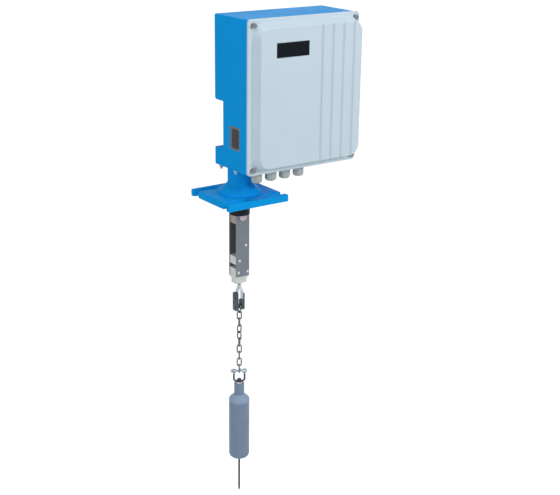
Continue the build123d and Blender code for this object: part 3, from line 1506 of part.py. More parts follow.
os.makedirs("parts", exist_ok=True)
for name, make in NODES.items():
    export_step(make(), f"parts/{name}.step")
for number in range(LINKS):
    export_step(make_link(number), f"parts/chain_link_{number + 1}.step")
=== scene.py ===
"""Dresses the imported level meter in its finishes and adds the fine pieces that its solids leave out.

Everything is in metres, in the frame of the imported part: X to the right along the housing, Y to the
back, Z up, with the origin at the centre of the flange's lower face, on the axis of the tape.
"""

import logging
from dataclasses import dataclass, field
from enum import Enum
from typing import Callable, Optional, Sequence

import bmesh
import bpy
import numpy as np
from mathutils import Matrix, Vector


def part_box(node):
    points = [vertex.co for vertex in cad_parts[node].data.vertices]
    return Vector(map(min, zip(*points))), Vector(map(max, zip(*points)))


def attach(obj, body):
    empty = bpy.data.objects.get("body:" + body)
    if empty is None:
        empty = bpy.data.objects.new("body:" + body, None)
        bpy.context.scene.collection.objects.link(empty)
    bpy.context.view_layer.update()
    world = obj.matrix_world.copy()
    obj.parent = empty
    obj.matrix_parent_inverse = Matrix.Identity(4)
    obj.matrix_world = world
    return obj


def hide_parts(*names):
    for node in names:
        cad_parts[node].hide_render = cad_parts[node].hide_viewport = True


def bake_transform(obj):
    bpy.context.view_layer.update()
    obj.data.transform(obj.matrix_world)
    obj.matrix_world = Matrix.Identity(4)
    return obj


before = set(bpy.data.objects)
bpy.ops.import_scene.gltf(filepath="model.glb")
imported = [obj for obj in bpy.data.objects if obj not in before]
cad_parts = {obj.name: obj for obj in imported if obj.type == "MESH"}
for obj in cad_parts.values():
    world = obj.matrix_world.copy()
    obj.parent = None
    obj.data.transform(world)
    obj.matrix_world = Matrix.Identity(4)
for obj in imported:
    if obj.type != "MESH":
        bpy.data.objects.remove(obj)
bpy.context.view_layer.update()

LOG = logging.getLogger("level_meter")

Triple = tuple[float, float, float]
Socket = bpy.types.NodeSocket

MM = 0.001
X_AXIS: Triple = (1.0, 0.0, 0.0)
Y_AXIS: Triple = (0.0, 1.0, 0.0)
Z_AXIS: Triple = (0.0, 0.0, 1.0)
WHITE = (1.0, 1.0, 1.0, 1.0)
LINKS = range(1, 11)
WIRE_POINTS = 10
EDGE_STEPS = 2

# Octaves of detail in a noise
SOFT, FINE = 2.0, 3.0

# Corners of a square, in order round it
CORNERS = np.array([[-1, -1], [1, -1], [1, 1], [-1, 1]])

# Places that agree to so many decimals are one
DECIMALS = 7

# How far a unit axis may point along X before a shape on it is turned from Y instead
LEANING = 0.9


class Body(Enum):
    """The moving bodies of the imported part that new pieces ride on, besides the chain's links."""

    STAND = "stand"
    DRUM = "tape_drum_shaft"
    ARM = "arm"
    TAPE_END = "tape_end"
    SHACKLE = "shackle"


class Grain(Enum):
    """The direction in which drawn or rolled stock shows its lines, as the scale of its noise."""

    ALONG_Y = (1.0, 0.02, 1.0)
    ALONG_Z = (1.0, 1.0, 0.02)
    NONE = (1.0, 1.0, 1.0)


# Finishes


class Graph:
    """The node tree of a material or of the world, with the steps that the finishes share."""

    def __init__(self, owner: bpy.types.ID, surface: str = "Principled BSDF") -> None:
        """Turns the owner's nodes on and finds its surface.

        Args:
            owner: the material or world.
            surface: the name of its surface node.
        """
        owner.use_nodes = True
        self.tree = owner.node_tree
        self.shader = self.tree.nodes[surface]

    def put(self, value: object, target: Socket) -> None:
        """Links a socket to an input, or gives the input a plain value.

        Args:
            value: a socket, or what the input itself takes.
            target: the input.
        """
        if isinstance(value, Socket):
            self.tree.links.new(value, target)
        else:
            target.default_value = value

    def fill(self, node: bpy.types.Node, **values: object) -> bpy.types.Node:
        """Puts sockets or plain values into those of a node's inputs that are named.

        Args:
            node: the node.
            values: input names with spaces as underscores, and what they get.

        Returns:
            The node.
        """
        for name, value in values.items():
            self.put(value, node.inputs[name.replace("_", " ")])
        return node

    def add(self, kind: str, **values: object) -> bpy.types.Node:
        """A new node of a kind, with the inputs that are named filled."""
        return self.fill(self.tree.nodes.new(kind), **values)

    def coat(self, **values: object) -> None:
        """Fills the inputs of the surface that are named."""
        self.fill(self.shader, **values)

    def math(self, operation: str, *inputs: object) -> Socket:
        """One step of arithmetic.

        Args:
            operation: what the step does.
            inputs: the sockets or numbers that it takes, in order.

        Returns:
            The result's socket.
        """
        node = self.tree.nodes.new("ShaderNodeMath")
        node.operation = operation
        for value, target in zip(inputs, node.inputs):
            self.put(value, target)
        return node.outputs[0]

    def place(self) -> Socket:
        """The object's own coordinates, in metres."""
        return self.add("ShaderNodeTexCoord").outputs["Object"]

    def coordinate(self, axis: str) -> Socket:
        """One of the object's own coordinates, by its letter."""
        return self.add("ShaderNodeSeparateXYZ", Vector=self.place()).outputs[axis]

    def noise(self, scale: float, detail: float = FINE, grain: Grain = Grain.NONE) -> Socket:
        """A field of so many lumps per metre and octaves of detail, drawn out along the grain."""
        drawn = self.add("ShaderNodeMapping", Vector=self.place(), Scale=grain.value).outputs["Vector"]
        return self.add("ShaderNodeTexNoise", Vector=drawn, Scale=scale, Detail=detail).outputs["Fac"]

    def sum(self, first: Socket, second: Socket, share: float) -> Socket:
        """The first field plus a share of the second."""
        return self.math("MULTIPLY_ADD", second, share, first)

    def fade(self, value: Socket, start: float, end: float, low: float = 0.0, high: float = 1.0) -> Socket:
        """A field that is low up to the value's start, high from its end on, and even between them."""
        ends = {"From_Min": start, "From_Max": end, "To_Min": low, "To_Max": high}
        return self.add("ShaderNodeMapRange", Value=value, **ends).outputs["Result"]

    def within(self, value: Socket, low: float, high: float, blend: float) -> Socket:
        """A field of 1 between two values, which fades to 0 at each of them over the blend."""
        return self.math("MULTIPLY", self.fade(value, low, low + blend), self.fade(value, high, high - blend))

    def shown_rays(self) -> Socket:
        """One for the rays that show the surround: to the camera, in reflections and through glass.

        Returns:
            The field's socket.
        """
        ray = self.add("ShaderNodeLightPath").outputs
        seen = self.math("MAXIMUM", ray["Is Camera Ray"], ray["Is Glossy Ray"])
        return self.math("MAXIMUM", seen, ray["Is Transmission Ray"])

    def shades(self, factor: Socket, dark: Triple, light: Triple, low: float, high: float) -> None:
        """Colours the surface between two shades by a field.

        Args:
            factor: the field.
            dark: the shade at its low level.
            light: the shade at its high level.
            low: the field's low level.
            high: the field's high level.
        """
        ramp = self.add("ShaderNodeValToRGB", Fac=factor)
        for element, place, shade in zip(ramp.color_ramp.elements, (low, high), (dark, light)):
            element.position = place
            element.color = (*shade, 1.0)
        self.coat(Base_Color=ramp.outputs["Color"])

    def over(self, mask: Socket, colour: Triple) -> None:
        """Lays another colour over the surface's own.

        Args:
            mask: the field that says how far.
            colour: the colour laid over.
        """
        mix = self.tree.nodes.new("ShaderNodeMix")
        mix.data_type = "RGBA"
        factor, _, _, _, _, _, under, upper, *_ = mix.inputs
        _, _, result, *_ = mix.outputs
        self.put(mask, factor)
        self.put(self.shader.inputs["Base Color"].links[0].from_socket, under)
        self.put((*colour, 1.0), upper)
        self.coat(Base_Color=result)


def tinted(colour: Triple, factor: float) -> Triple:
    """The colour made darker or lighter by a factor, held to at most white."""
    return tuple(min(1.0, part * factor) for part in colour)


@dataclass(frozen=True)
class Finish:
    """A tone that differs from patch to patch, over a relief of lumps and a share of finer or wider ones.

    The slot is the record's, and the nodes are those of the CAD model that are dressed in the finish.
    The variation and the spread say how much the colour and the roughness differ. Scales are lumps per
    metre, and the depth is in metres.
    """

    slot: str
    base: Triple
    roughness: float = 0.4
    specular: float = 0.5
    variation: float = 0.05
    spread: float = 0.05
    patches: float = 12.0
    middle: tuple[float, float] = (0.3, 0.7)
    metallic: float = 0.0
    depth: float = 0.1 * MM
    strength: float = 0.35
    lumps: tuple[float, float] = (1600.0, FINE)
    others: tuple[float, float] = (60.0, SOFT)
    share: float = 0.0
    nodes: tuple[str, ...] = ()

    def gloss(self, graph: Graph, factor: Socket) -> None:
        """Varies the roughness about its level, by a field."""
        rough = graph.fade(factor, *self.middle, self.roughness + self.spread, self.roughness - self.spread)
        graph.coat(Roughness=rough)

    def tone(self, graph: Graph, factor: Socket, low: float, high: float) -> None:
        """Makes the colour and the gloss slightly uneven.

        Args:
            graph: the material's graph.
            factor: the field that they follow.
            low: the field's level at the darkest colour.
            high: the field's level at the lightest colour.
        """
        dark, light = tinted(self.base, 1 - self.variation), tinted(self.base, 1 + self.variation)
        graph.shades(factor, dark, light, low, high)
        self.gloss(graph, factor)

    def relief(self, graph: Graph, height: Socket) -> None:
        """Raises the surface by a field, over the finish's depth."""
        bump = graph.add("ShaderNodeBump", Strength=self.strength, Distance=self.depth, Height=height)
        graph.coat(Normal=bump.outputs["Normal"])

    def surface(self, graph: Graph) -> None:
        """Lays the finish into its graph.

        Args:
            graph: the material's graph.
        """
        graph.coat(Metallic=self.metallic)
        self.tone(graph, graph.noise(self.patches), *self.middle)
        height = graph.noise(*self.lumps)
        if self.share:
            height = graph.sum(height, graph.noise(*self.others), self.share)
        self.relief(graph, height)


@dataclass(frozen=True)
class Paint(Finish):
    """Sprayed paint on a casting: orange peel over faint casting waves."""

    patches: float = 9.0
    depth: float = 0.12 * MM
    lumps: tuple[float, float] = (420.0, SOFT)
    share: float = 1.6


@dataclass(frozen=True)
class Moulding(Finish):
    """A moulded plastic or rubber surface with the fine spark texture of its mould."""

    patches: float = 7.0
    depth: float = 0.06 * MM
    strength: float = 0.4


@dataclass(frozen=True)
class Casting(Finish):
    """A coated or bare casting: low lumps with small pits between them."""

    patches: float = 22.0
    depth: float = 0.3 * MM
    lumps: tuple[float, float] = (90.0, FINE)
    others: tuple[float, float] = (900.0, SOFT)
    share: float = 0.25


@dataclass(frozen=True)
class GroovedMoulding(Moulding):
    """A moulded cover with upright grooves, whose colour is darkened in them as painted shade."""

    # how far the grooves' colour is darkened, as painted shade
    shade: float = 0.89
    first: float = 196.0 * MM
    pitch: float = 40.4 * MM
    half_width: float = 4.6 * MM
    count: int = 4
    top: float = 545.0 * MM
    bottom: float = 124.0 * MM

    def surface(self, graph: Graph) -> None:
        """Lays the moulding and the painted shade of its grooves into the graph.

        The distance from the nearest groove's middle is that of X to a zigzag of the grooves' pitch,
        and the painted shade is held to the stretch from the first groove to the last and to their height.

        Args:
            graph: the material's graph.
        """
        super().surface(graph)
        across = graph.coordinate("X")
        off = graph.math("PINGPONG", graph.math("SUBTRACT", across, self.first), self.pitch / 2)
        groove = graph.fade(off, self.half_width, self.half_width / 2)
        left = self.first - self.pitch / 2
        row = graph.within(across, left, left + self.pitch * self.count, self.pitch / 6)
        upright = graph.within(graph.coordinate("Z"), self.bottom, self.top, self.half_width)
        # painted shade: the cover's colour is darkened inside the grooves
        mask = graph.math("MULTIPLY", graph.math("MULTIPLY", groove, row), upright)
        graph.over(mask, tinted(self.base, self.shade))


@dataclass(frozen=True)
class Stock(Finish):
    """Bare metal stock with drawing or rolling lines in one direction, over wider waves of tone."""

    metallic: float = 1.0
    edge: float = 1.0
    depth: float = 0.04 * MM
    strength: float = 0.3
    grain: Grain = Grain.ALONG_Z
    line_scale: float = 1800.0
    wave_scale: float = 35.0
    share: float = 0.5
    levels: tuple[float, float] = (0.55, 0.95)
    tones: tuple[float, float] = (0.1, 0.9)

    def surface(self, graph: Graph) -> None:
        """Lays the lines and their uneven gloss into the graph.

        Args:
            graph: the material's graph.
        """
        graph.coat(Metallic=self.metallic, Specular_Tint=(self.edge, self.edge, self.edge, 1.0))
        lines = graph.noise(self.line_scale, grain=self.grain)
        mixed = graph.sum(lines, graph.noise(self.wave_scale), self.share)
        self.tone(graph, graph.fade(mixed, *self.levels), *self.tones)
        self.relief(graph, lines)


@dataclass(frozen=True)
class Fastener(Stock):
    """The metal of screws, nuts and pins, whose short lines have no direction."""

    roughness: float = 0.34
    grain: Grain = Grain.NONE
    line_scale: float = 900.0


@dataclass(frozen=True)
class ShoulderedCasting(Casting):
    """A coated casting with painted light on its sloping shoulder, which is coloured lighter than its body
    and its neck.
    """

    painted_light: float = 1.42
    low: float = -709.0 * MM
    high: float = -680.0 * MM
    blend: float = 4.0 * MM

    def surface(self, graph: Graph) -> None:
        """Lays the casting and the painted light on its shoulder into the graph.

        Args:
            graph: the material's graph.
        """
        super().surface(graph)
        # painted light: the band of the shoulder's heights is coloured lighter
        shoulder = graph.within(graph.coordinate("Z"), self.low, self.high, self.blend)
        graph.over(shoulder, tinted(self.base, self.painted_light))


@dataclass(frozen=True)
class Forging(Finish):
    """A forging coloured dark on one side of a height and bright on the other: on the shackle, painted shade
    on the legs below the height and painted light above it; on the weight's eye, dark above and bright below.
    """

    patches: float = 180.0
    share: float = 0.25
    # the dark colour; on the shackle it is painted shade
    scale: Triple = (0.045, 0.055, 0.065)
    dark_from: float = -612.0 * MM
    bright_from: float = -602.0 * MM
    tones: tuple[float, float] = (0.1, 1.0)
    pit_scale: float = 700.0

    def surface(self, graph: Graph) -> None:
        """Lays the dark colour, the bright metal and their blend along Z into the graph; on the shackle they
        are painted shade and painted light.

        Args:
            graph: the material's graph.
        """
        level = graph.fade(graph.coordinate("Z"), self.dark_from, self.bright_from)
        patches = graph.noise(self.patches)
        graph.coat(Metallic=level)
        graph.shades(graph.sum(level, patches, self.share), self.scale, self.base, *self.tones)
        self.gloss(graph, patches)
        self.relief(graph, graph.noise(self.pit_scale))


class Palette(Enum):
    """Every finish on the level meter, with its slot in the record and the CAD nodes dressed in it."""

    HOUSING_BLUE = Paint("housing_paint", (0.006, 0.345, 0.840), 0.30, 0.006, 0.03,
                         nodes=("pedestal", "housing", "rear_cover"))
    # the cover's grooves carry painted shade
    COVER_GREY = GroovedMoulding("cover_plastic", (0.580, 0.705, 0.790), 0.42, 0.30, 0.015,
                                 nodes=("front_cover",))
    LABEL_BLACK = Moulding("label_film", (0.003, 0.005, 0.008), 0.42, 0.08, depth=0.01 * MM,
                           nodes=("front_label",))
    LABEL_LINE = Moulding("label_film", (0.030, 0.034, 0.040), 0.42, 0.08, depth=0.01 * MM)
    PLATE_METAL = Stock("plate_metal", (0.110, 0.120, 0.135), 0.38, nodes=("side_plate",))
    PLATE_FIELD = Moulding("plate_metal", (0.022, 0.030, 0.036), 0.38, 0.2, 0.9, depth=0.02 * MM,
                           patches=160.0)
    COVER_SCREW = Fastener("screw_steel", (0.22, 0.235, 0.25), nodes=("cover_screws",))
    SCREW_STEEL = Fastener("screw_steel", (0.30, 0.32, 0.34),
                           nodes=("pedestal_screws", "rear_cover_screws", "stripper_spacer",
                                  "stripper_screws"))
    SCREW_DARK = Fastener("screw_steel", (0.13, 0.135, 0.14), 0.36, nodes=("hanger_screws", "hanger_pin"))
    ZINC_STEEL = Fastener("screw_steel", (0.64, 0.68, 0.70), 0.30, metallic=0.5)
    SHOULDER_STEEL = Fastener("screw_steel", (0.37, 0.34, 0.36), nodes=("shoulder_screws",))
    GLAND_GREY = Moulding("gland_plastic", (0.41, 0.45, 0.44), 0.44, variation=0.03,
                          nodes=("gland_bodies", "gland_nuts"))
    GLAND_DARK = Moulding("gland_plastic", (0.020, 0.020, 0.022), 0.6, nodes=("gland_plugs",))
    COLLAR_BLACK = Moulding("seal_rubber", (0.006, 0.009, 0.014), 0.5, 0.15, lumps=(800.0, FINE),
                            nodes=("seal_collar",))
    CHANNEL_STEEL = Stock("stripper_steel", (0.180, 0.208, 0.236), 0.40, variation=0.08, metallic=0.45,
                          nodes=("stripper_channel",))
    SLEEVE_STEEL = Stock("stripper_steel", (0.42, 0.38, 0.35), 0.32, nodes=("stripper_sleeve",))
    PACKING_TAN = Moulding("scraper_plastic", (0.42, 0.36, 0.33), 0.55, 0.2, 0.12, patches=60.0)
    SCRAPER_WHITE = Moulding("scraper_plastic", (0.69, 0.74, 0.71), 0.48, 0.35, 0.03,
                             nodes=("upper_scraper", "lower_scraper"))
    TAPE_STEEL = Stock("tape_steel", (0.30, 0.30, 0.32), 0.28, nodes=("tape_run", "tape_lead", "tape_coil"))
    HANGER_BRIGHT = Stock("hanger_steel", (0.47, 0.50, 0.55), 0.28, variation=0.2, nodes=("hanger_strips",))
    CHEEK_DARK = Casting("cheek_metal", (0.050, 0.078, 0.088), 0.42, variation=0.25, metallic=0.6,
                         depth=0.2 * MM, nodes=("left_cheek", "right_cheek"))
    CHAIN_STEEL = Fastener("chain_steel", (0.150, 0.160, 0.175), 0.30, variation=0.25, edge=0.45,
                           line_scale=700.0, nodes=tuple(f"chain_link_{number}" for number in LINKS))
    # painted shade on the shackle's legs and painted light above them, by height
    SHACKLE_STEEL = Forging("shackle_steel", (0.31, 0.38, 0.44), 0.33, 0.3,
                            nodes=("shackle_bow", "shackle_pin"))
    # painted light on the weight's shoulder
    WEIGHT_GREY = ShoulderedCasting("weight_coating", (0.182, 0.254, 0.364), 0.46, 0.4,
                                    nodes=("sounding_weight",))
    EYE_STEEL = Forging("spike_steel", (0.50, 0.56, 0.62), 0.4, 0.3, scale=(0.030, 0.033, 0.038),
                        dark_from=-637.4 * MM, bright_from=-638.4 * MM, nodes=("weight_eye",))
    SPIKE_DARK = Stock("spike_steel", (0.030, 0.033, 0.038), 0.4, edge=0.1, nodes=("weight_spike",))
    MACHINED_ALLOY = Fastener("drum_alloy", (0.50, 0.51, 0.53), line_scale=600.0,
                              nodes=("tape_drum", "measuring_wheel", "tension_arm", "pulse_disc",
                                     "motor_bracket"))
    GROUND_STEEL = Stock("shaft_steel", (0.45, 0.46, 0.48), 0.25, grain=Grain.ALONG_Y,
                         nodes=("drum_shaft", "drum_bearings", "arm_pin", "arm_spring", "board_spacers"))
    GEAR_BRASS = Stock("gear_brass", (0.62, 0.44, 0.17), 0.32, grain=Grain.ALONG_Y,
                       nodes=("drum_gear", "motor_pinion"))
    MOTOR_GREY = Paint("motor_paint", (0.055, 0.058, 0.062), 0.45, nodes=("gear_motor",))
    BOARD_GREEN = Moulding("board_laminate", (0.012, 0.135, 0.055), 0.34, lumps=(500.0, FINE),
                           nodes=("circuit_board",))
    FITTING_BLACK = Moulding("fitting_plastic", (0.022, 0.022, 0.024), 0.45,
                             nodes=("terminal_block", "pulse_sensor", "slack_switch"))

    def material(self) -> bpy.types.Material:
        """The finish's material, made when it is first asked for.

        Returns:
            The material.
        """
        name = f"{self.name.lower()}_finish"
        if name not in bpy.data.materials:
            graph = Graph(bpy.data.materials.new(name))
            graph.coat(Specular_IOR_Level=self.value.specular)
            self.value.surface(graph)
        return bpy.data.materials[name]


# Surfaces


@dataclass(frozen=True)
class Seat:
    """Where a shape made about its own Z axis stands in the part's frame."""

    origin: Triple
    axis: Triple = Z_AXIS
    turn: float = 0.0

    def place(self, points: np.ndarray) -> np.ndarray:
        """Turns and moves points from the shape's own frame into the part's.

        Args:
            points: an array whose last axis holds X, Y and Z in metres.

        Returns:
            The placed points, in the same shape.
        """
        up = np.array(self.axis) / np.linalg.norm(self.axis)
        helper = np.array(X_AXIS if abs(up[0]) < LEANING else Y_AXIS)
        across = np.cross(helper, up)
        across /= np.linalg.norm(across)
        ahead = np.cross(up, across)
        cos, sin = np.cos(self.turn), np.sin(self.turn)
        first = cos * across + sin * ahead
        second = cos * ahead - sin * across
        return points @ np.stack([first, second, up]) + np.array(self.origin)


def closed_skin(points: np.ndarray, ring: bool) -> tuple[np.ndarray, list[list[int]]]:
    """A closed surface from a grid of points whose columns run round it.

    A point at row i and column j has the number i * columns + j. Each quad joins rows i and i + 1 at
    columns j and j + 1, where the last column meets the first. The first and last rows are closed by
    fans to their mean points, or joined to each other where the rows form a ring.

    Args:
        points: an array of rows by columns by 3.
        ring: whether the last row joins the first.

    Returns:
        The vertices, and the vertices' numbers round each face.
    """
    rows, columns = points.shape[:2]
    i, j = np.meshgrid(np.arange(rows if ring else rows - 1), np.arange(columns), indexing="ij")
    here, there, after = i * columns, (i + 1) % rows * columns, (j + 1) % columns
    faces = np.stack([here + j, here + after, there + after, there + j], axis=-1).reshape(-1, 4).tolist()
    vertices = points.reshape(-1, 3)
    if ring:
        return vertices, faces
    for end, start in ((0, 0), (-1, (rows - 1) * columns)):
        middle = np.full(columns, len(vertices))
        vertices = np.concatenate([vertices, [points[end].mean(axis=0)]])
        faces += np.stack([start + j[0], start + after[0], middle], axis=-1).tolist()
    return vertices, faces


def full_turn(columns: int) -> np.ndarray:
    """Angles spread evenly round a circle, without the last, which is the first again."""
    return np.linspace(0.0, 2 * np.pi, columns, endpoint=False)


def circle(radius: float, columns: int) -> np.ndarray:
    """Points round a circle in a plane, as a flat section."""
    angle = full_turn(columns)
    return radius * np.stack([np.cos(angle), np.sin(angle)], axis=-1)


def hexagon(angle: np.ndarray, flat: float) -> np.ndarray:
    """A hexagon's radius at an angle: flat / cos b, where b is the angle from the nearest flat's middle."""
    return flat / np.cos((angle + np.pi / 6) % (np.pi / 3) - np.pi / 6)


def turned(profile: Sequence[tuple[float, float]], columns: int,
           swell: Optional[Callable[[np.ndarray, np.ndarray], np.ndarray]] = None) -> np.ndarray:
    """Points of a profile turned about Z.

    A profile point (r, z) gives (r f cos a, r f sin a, z) for angles a spread evenly round the circle,
    where f is 1, or the swell of the row's share along the profile and the angle.

    Args:
        profile: radius and height of each row, in metres.
        columns: points round the circle.
        swell: the factor f as a function of row share and angle arrays.

    Returns:
        An array of rows by columns by 3.
    """
    rows = np.array(profile)
    share, turn = np.meshgrid(np.linspace(0.0, 1.0, len(rows)), full_turn(columns), indexing="ij")
    radius = rows[:, :1] * (swell(share, turn) if swell else np.ones_like(share))
    height = np.broadcast_to(rows[:, 1:], radius.shape)
    return np.stack([radius * np.cos(turn), radius * np.sin(turn), height], axis=-1)


def carried(path: np.ndarray, section: np.ndarray, up: Triple = Z_AXIS) -> np.ndarray:
    """Points of a flat section carried along a path.

    At each path point the section's first coordinate lies along the cross product of the tangent and
    up, and its second along the cross product of the first and the tangent.

    Args:
        path: an array of points by 3.
        section: an array of points by 2.
        up: a direction that the path never runs along.

    Returns:
        An array of path points by section points by 3.
    """
    tangent = np.gradient(path, axis=0)
    tangent /= np.linalg.norm(tangent, axis=1, keepdims=True)
    side = np.cross(tangent, np.array(up))
    side /= np.linalg.norm(side, axis=1, keepdims=True)
    over = np.cross(side, tangent)
    return path[:, None] + section[None, :, :1] * side[:, None] + section[None, :, 1:] * over[:, None]


def slab(low: Sequence[float], high: Sequence[float]) -> np.ndarray:
    """A box from its lowest to its highest corner, as a grid of two rows round its four uprights."""
    ring = np.where(CORNERS > 0, high[:2], low[:2])
    return np.stack([np.column_stack([ring, np.full(4, z)]) for z in (low[2], high[2])])


def rounded_plate(low: np.ndarray, high: np.ndarray, corner: float, steps: int = 6) -> np.ndarray:
    """A plate that faces along Y and has round corners, as two rows of one closed outline.

    The outline is four quarter circles of the corner's radius, whose points lie evenly round each.

    Args:
        low: the lowest corner of the plate's box.
        high: the highest corner of the plate's box.
        corner: radius of the corners.
        steps: points on each quarter circle.

    Returns:
        An array of 2 rows by 4 * steps points by 3.
    """
    middles = np.where(CORNERS > 0, high[::2] - corner, low[::2] + corner)
    angle = np.linspace(np.pi, 1.5 * np.pi, steps) + np.arange(4)[:, None] * np.pi / 2
    x = (middles[:, :1] + corner * np.cos(angle)).reshape(-1)
    z = (middles[:, 1:] + corner * np.sin(angle)).reshape(-1)
    return np.stack([np.column_stack([x, np.full(len(x), y), z]) for y in (high[1], low[1])])


def frame_bar(low: Sequence[float], high: Sequence[float], width: float) -> np.ndarray:
    """A flat rectangular frame that faces along Y, as a ring of rectangular sections.

    Each of the four corners gives one section of four points: outer front, inner front, inner back
    and outer back, where inner is drawn in by the width.

    Args:
        low: lowest corner of the frame's box.
        high: highest corner of the frame's box.
        width: width of the bars.

    Returns:
        An array of 4 sections by 4 points by 3, to be closed as a ring.
    """
    outer = np.where(CORNERS > 0, high[::2], low[::2])
    inner = outer - width * CORNERS
    section = [(outer, low[1]), (inner, low[1]), (inner, high[1]), (outer, high[1])]
    return np.stack([np.column_stack([at[:, 0], np.full(4, y), at[:, 1]]) for at, y in section], axis=1)


@dataclass
class Piece:
    """One new object of the scene: its surfaces, its finish, and how its edges are kept or rounded."""

    name: str
    finish: Palette
    vertices: list[list[float]] = field(default_factory=list)
    faces: list[list[int]] = field(default_factory=list)
    sharp_angle: float = 35.0
    edge_round: float = 0.0
    merge: float = 1e-7

    def add(self, points: np.ndarray, seat: Optional[Seat] = None, ring: bool = False) -> "Piece":
        """Adds one closed surface.

        Args:
            points: the grid of points, in the shape's own frame or in the part's.
            seat: where the shape stands, if it isn't placed already.
            ring: whether the grid's last row joins its first.

        Returns:
            The piece, for chaining.
        """
        vertices, faces = closed_skin(seat.place(points) if seat else points, ring)
        self.faces += [[len(self.vertices) + corner for corner in face] for face in faces]
        self.vertices += vertices.tolist()
        return self

    def mesh(self) -> bpy.types.Mesh:
        """Joins the surfaces in one mesh, with faces outwards and smooth runs.

        Returns:
            The mesh, in its finish.
        """
        mesh = bpy.data.meshes.new(self.name)
        mesh.from_pydata(self.vertices, [], self.faces)
        shape = bmesh.new()
        shape.from_mesh(mesh)
        bmesh.ops.remove_doubles(shape, verts=shape.verts, dist=self.merge)
        bmesh.ops.recalc_face_normals(shape, faces=shape.faces)
        shape.to_mesh(mesh)
        shape.free()
        mesh.polygons.foreach_set("use_smooth", np.ones(len(mesh.polygons), dtype=bool))
        mesh.set_sharp_from_angle(angle=np.radians(self.sharp_angle))
        mesh.materials.append(self.finish.material())
        return mesh

    def build(self) -> bpy.types.Object:
        """Makes the object at the origin of the part's frame, and rounds its edges.

        Returns:
            The object.
        """
        made = shown(self.name, self.mesh())
        if self.edge_round:
            bevel = made.modifiers.new("edge", "BEVEL")
            bevel.width = self.edge_round
            bevel.segments = EDGE_STEPS
            bevel.limit_method = "ANGLE"
            bevel.angle_limit = np.radians(self.sharp_angle)
        return made

    def ride(self, *replaced: str, body: Body = Body.STAND) -> None:
        """Builds the piece, lets it ride on a body and stand for the nodes it replaces.

        Args:
            replaced: names of the CAD nodes it stands for.
            body: the body that carries it.
        """
        made = self.build()
        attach(made, body.value)
        if replaced:
            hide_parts(*replaced)
        LOG.info("%s rides on %s, %d faces", self.name, body.value, len(made.data.polygons))

    def stretch(self, node: str, first: Body, second: Body, start: Sequence[float],
                end: Sequence[float]) -> None:
        """Builds the piece in place of a node and bakes its place into its mesh.

        Args:
            node: name of the CAD node it stands for.
            first: the body at one end, which the log names.
            second: the body at the other end, which the log names.
            start: not used.
            end: not used.
        """
        made = self.build()
        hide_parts(node)
        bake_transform(made)
        LOG.info("%s blends from %s to %s", self.name, first.value, second.value)


def shown(name: str, data: bpy.types.ID) -> bpy.types.Object:
    """Makes an object of a mesh, lamp or camera and links it to the scene.

    Args:
        name: the object's name.
        data: what it shows.

    Returns:
        The object.
    """
    made = bpy.data.objects.new(name, data)
    bpy.context.scene.collection.objects.link(made)
    return made


# What the frame says


def node_points(node: str) -> np.ndarray:
    """The vertices of a CAD node.

    Args:
        node: the CAD node's name.

    Returns:
        An array of points by 3.
    """
    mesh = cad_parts[node].data
    points = np.empty(len(mesh.vertices) * 3)
    mesh.vertices.foreach_get("co", points)
    return points.reshape(-1, 3)


def limits(node: str) -> tuple[np.ndarray, np.ndarray, np.ndarray]:
    """The lowest corner, the highest corner and the middle of a CAD node at rest."""
    low, high = np.array(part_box(node))
    return low, high, (low + high) / 2


def solid_boxes(node: str) -> list[tuple[np.ndarray, np.ndarray]]:
    """The boxes of the separate solids of a CAD node.

    Corners at the same place get one number, and every triangle hands the lowest number of its corners
    to all three until nothing changes, so that each solid ends with one number of its own.

    Args:
        node: the CAD node's name.

    Returns:
        The lowest and highest corner of each solid.
    """
    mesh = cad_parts[node].data
    corners = np.empty(len(mesh.loops), dtype=int)
    mesh.loops.foreach_get("vertex_index", corners)
    points, number = np.unique(np.round(node_points(node), DECIMALS), axis=0, return_inverse=True)
    triangles = number.reshape(-1)[corners].reshape(-1, 3)
    label = np.arange(len(points))
    while True:
        lowest = label[triangles].min(axis=1)
        spread = label.copy()
        np.minimum.at(spread, triangles.reshape(-1), np.repeat(lowest, 3))
        if np.array_equal(spread, label):
            break
        label = spread
    return [(points[label == own].min(axis=0), points[label == own].max(axis=0)) for own in np.unique(label)]


# Sub-assemblies


class DressedNodes:
    """The CAD nodes, each in its own finish."""

    def build(self) -> None:
        """Gives every node its material."""
        for finish in Palette:
            for name in finish.value.nodes:
                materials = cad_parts[name].data.materials
                materials.clear()
                materials.append(finish.material())
                LOG.info("%s is in %s", name, materials[0].name)


@dataclass
class FrontLabel:
    """The black label on the front cover: a bare field inside a thin line."""

    inset: float = 2.2 * MM
    line: float = 0.45 * MM
    recess: float = 0.1 * MM
    corner: float = 1.5 * MM

    def build(self) -> None:
        """Stands the plate and its line in place of the CAD node."""
        low, high, _ = limits("front_label")
        face = low + (0.0, self.recess, 0.0)
        plate = Piece("label_plate", Palette.LABEL_BLACK)
        plate.add(rounded_plate(face, high, self.corner)).ride("front_label")
        line_low = low + (self.inset, 0.0, self.inset)
        line_high = (high[0] - self.inset, face[1] + self.recess, high[2] - self.inset)
        border = Piece("label_border", Palette.LABEL_LINE)
        border.add(frame_bar(line_low, line_high, self.line), ring=True).ride()


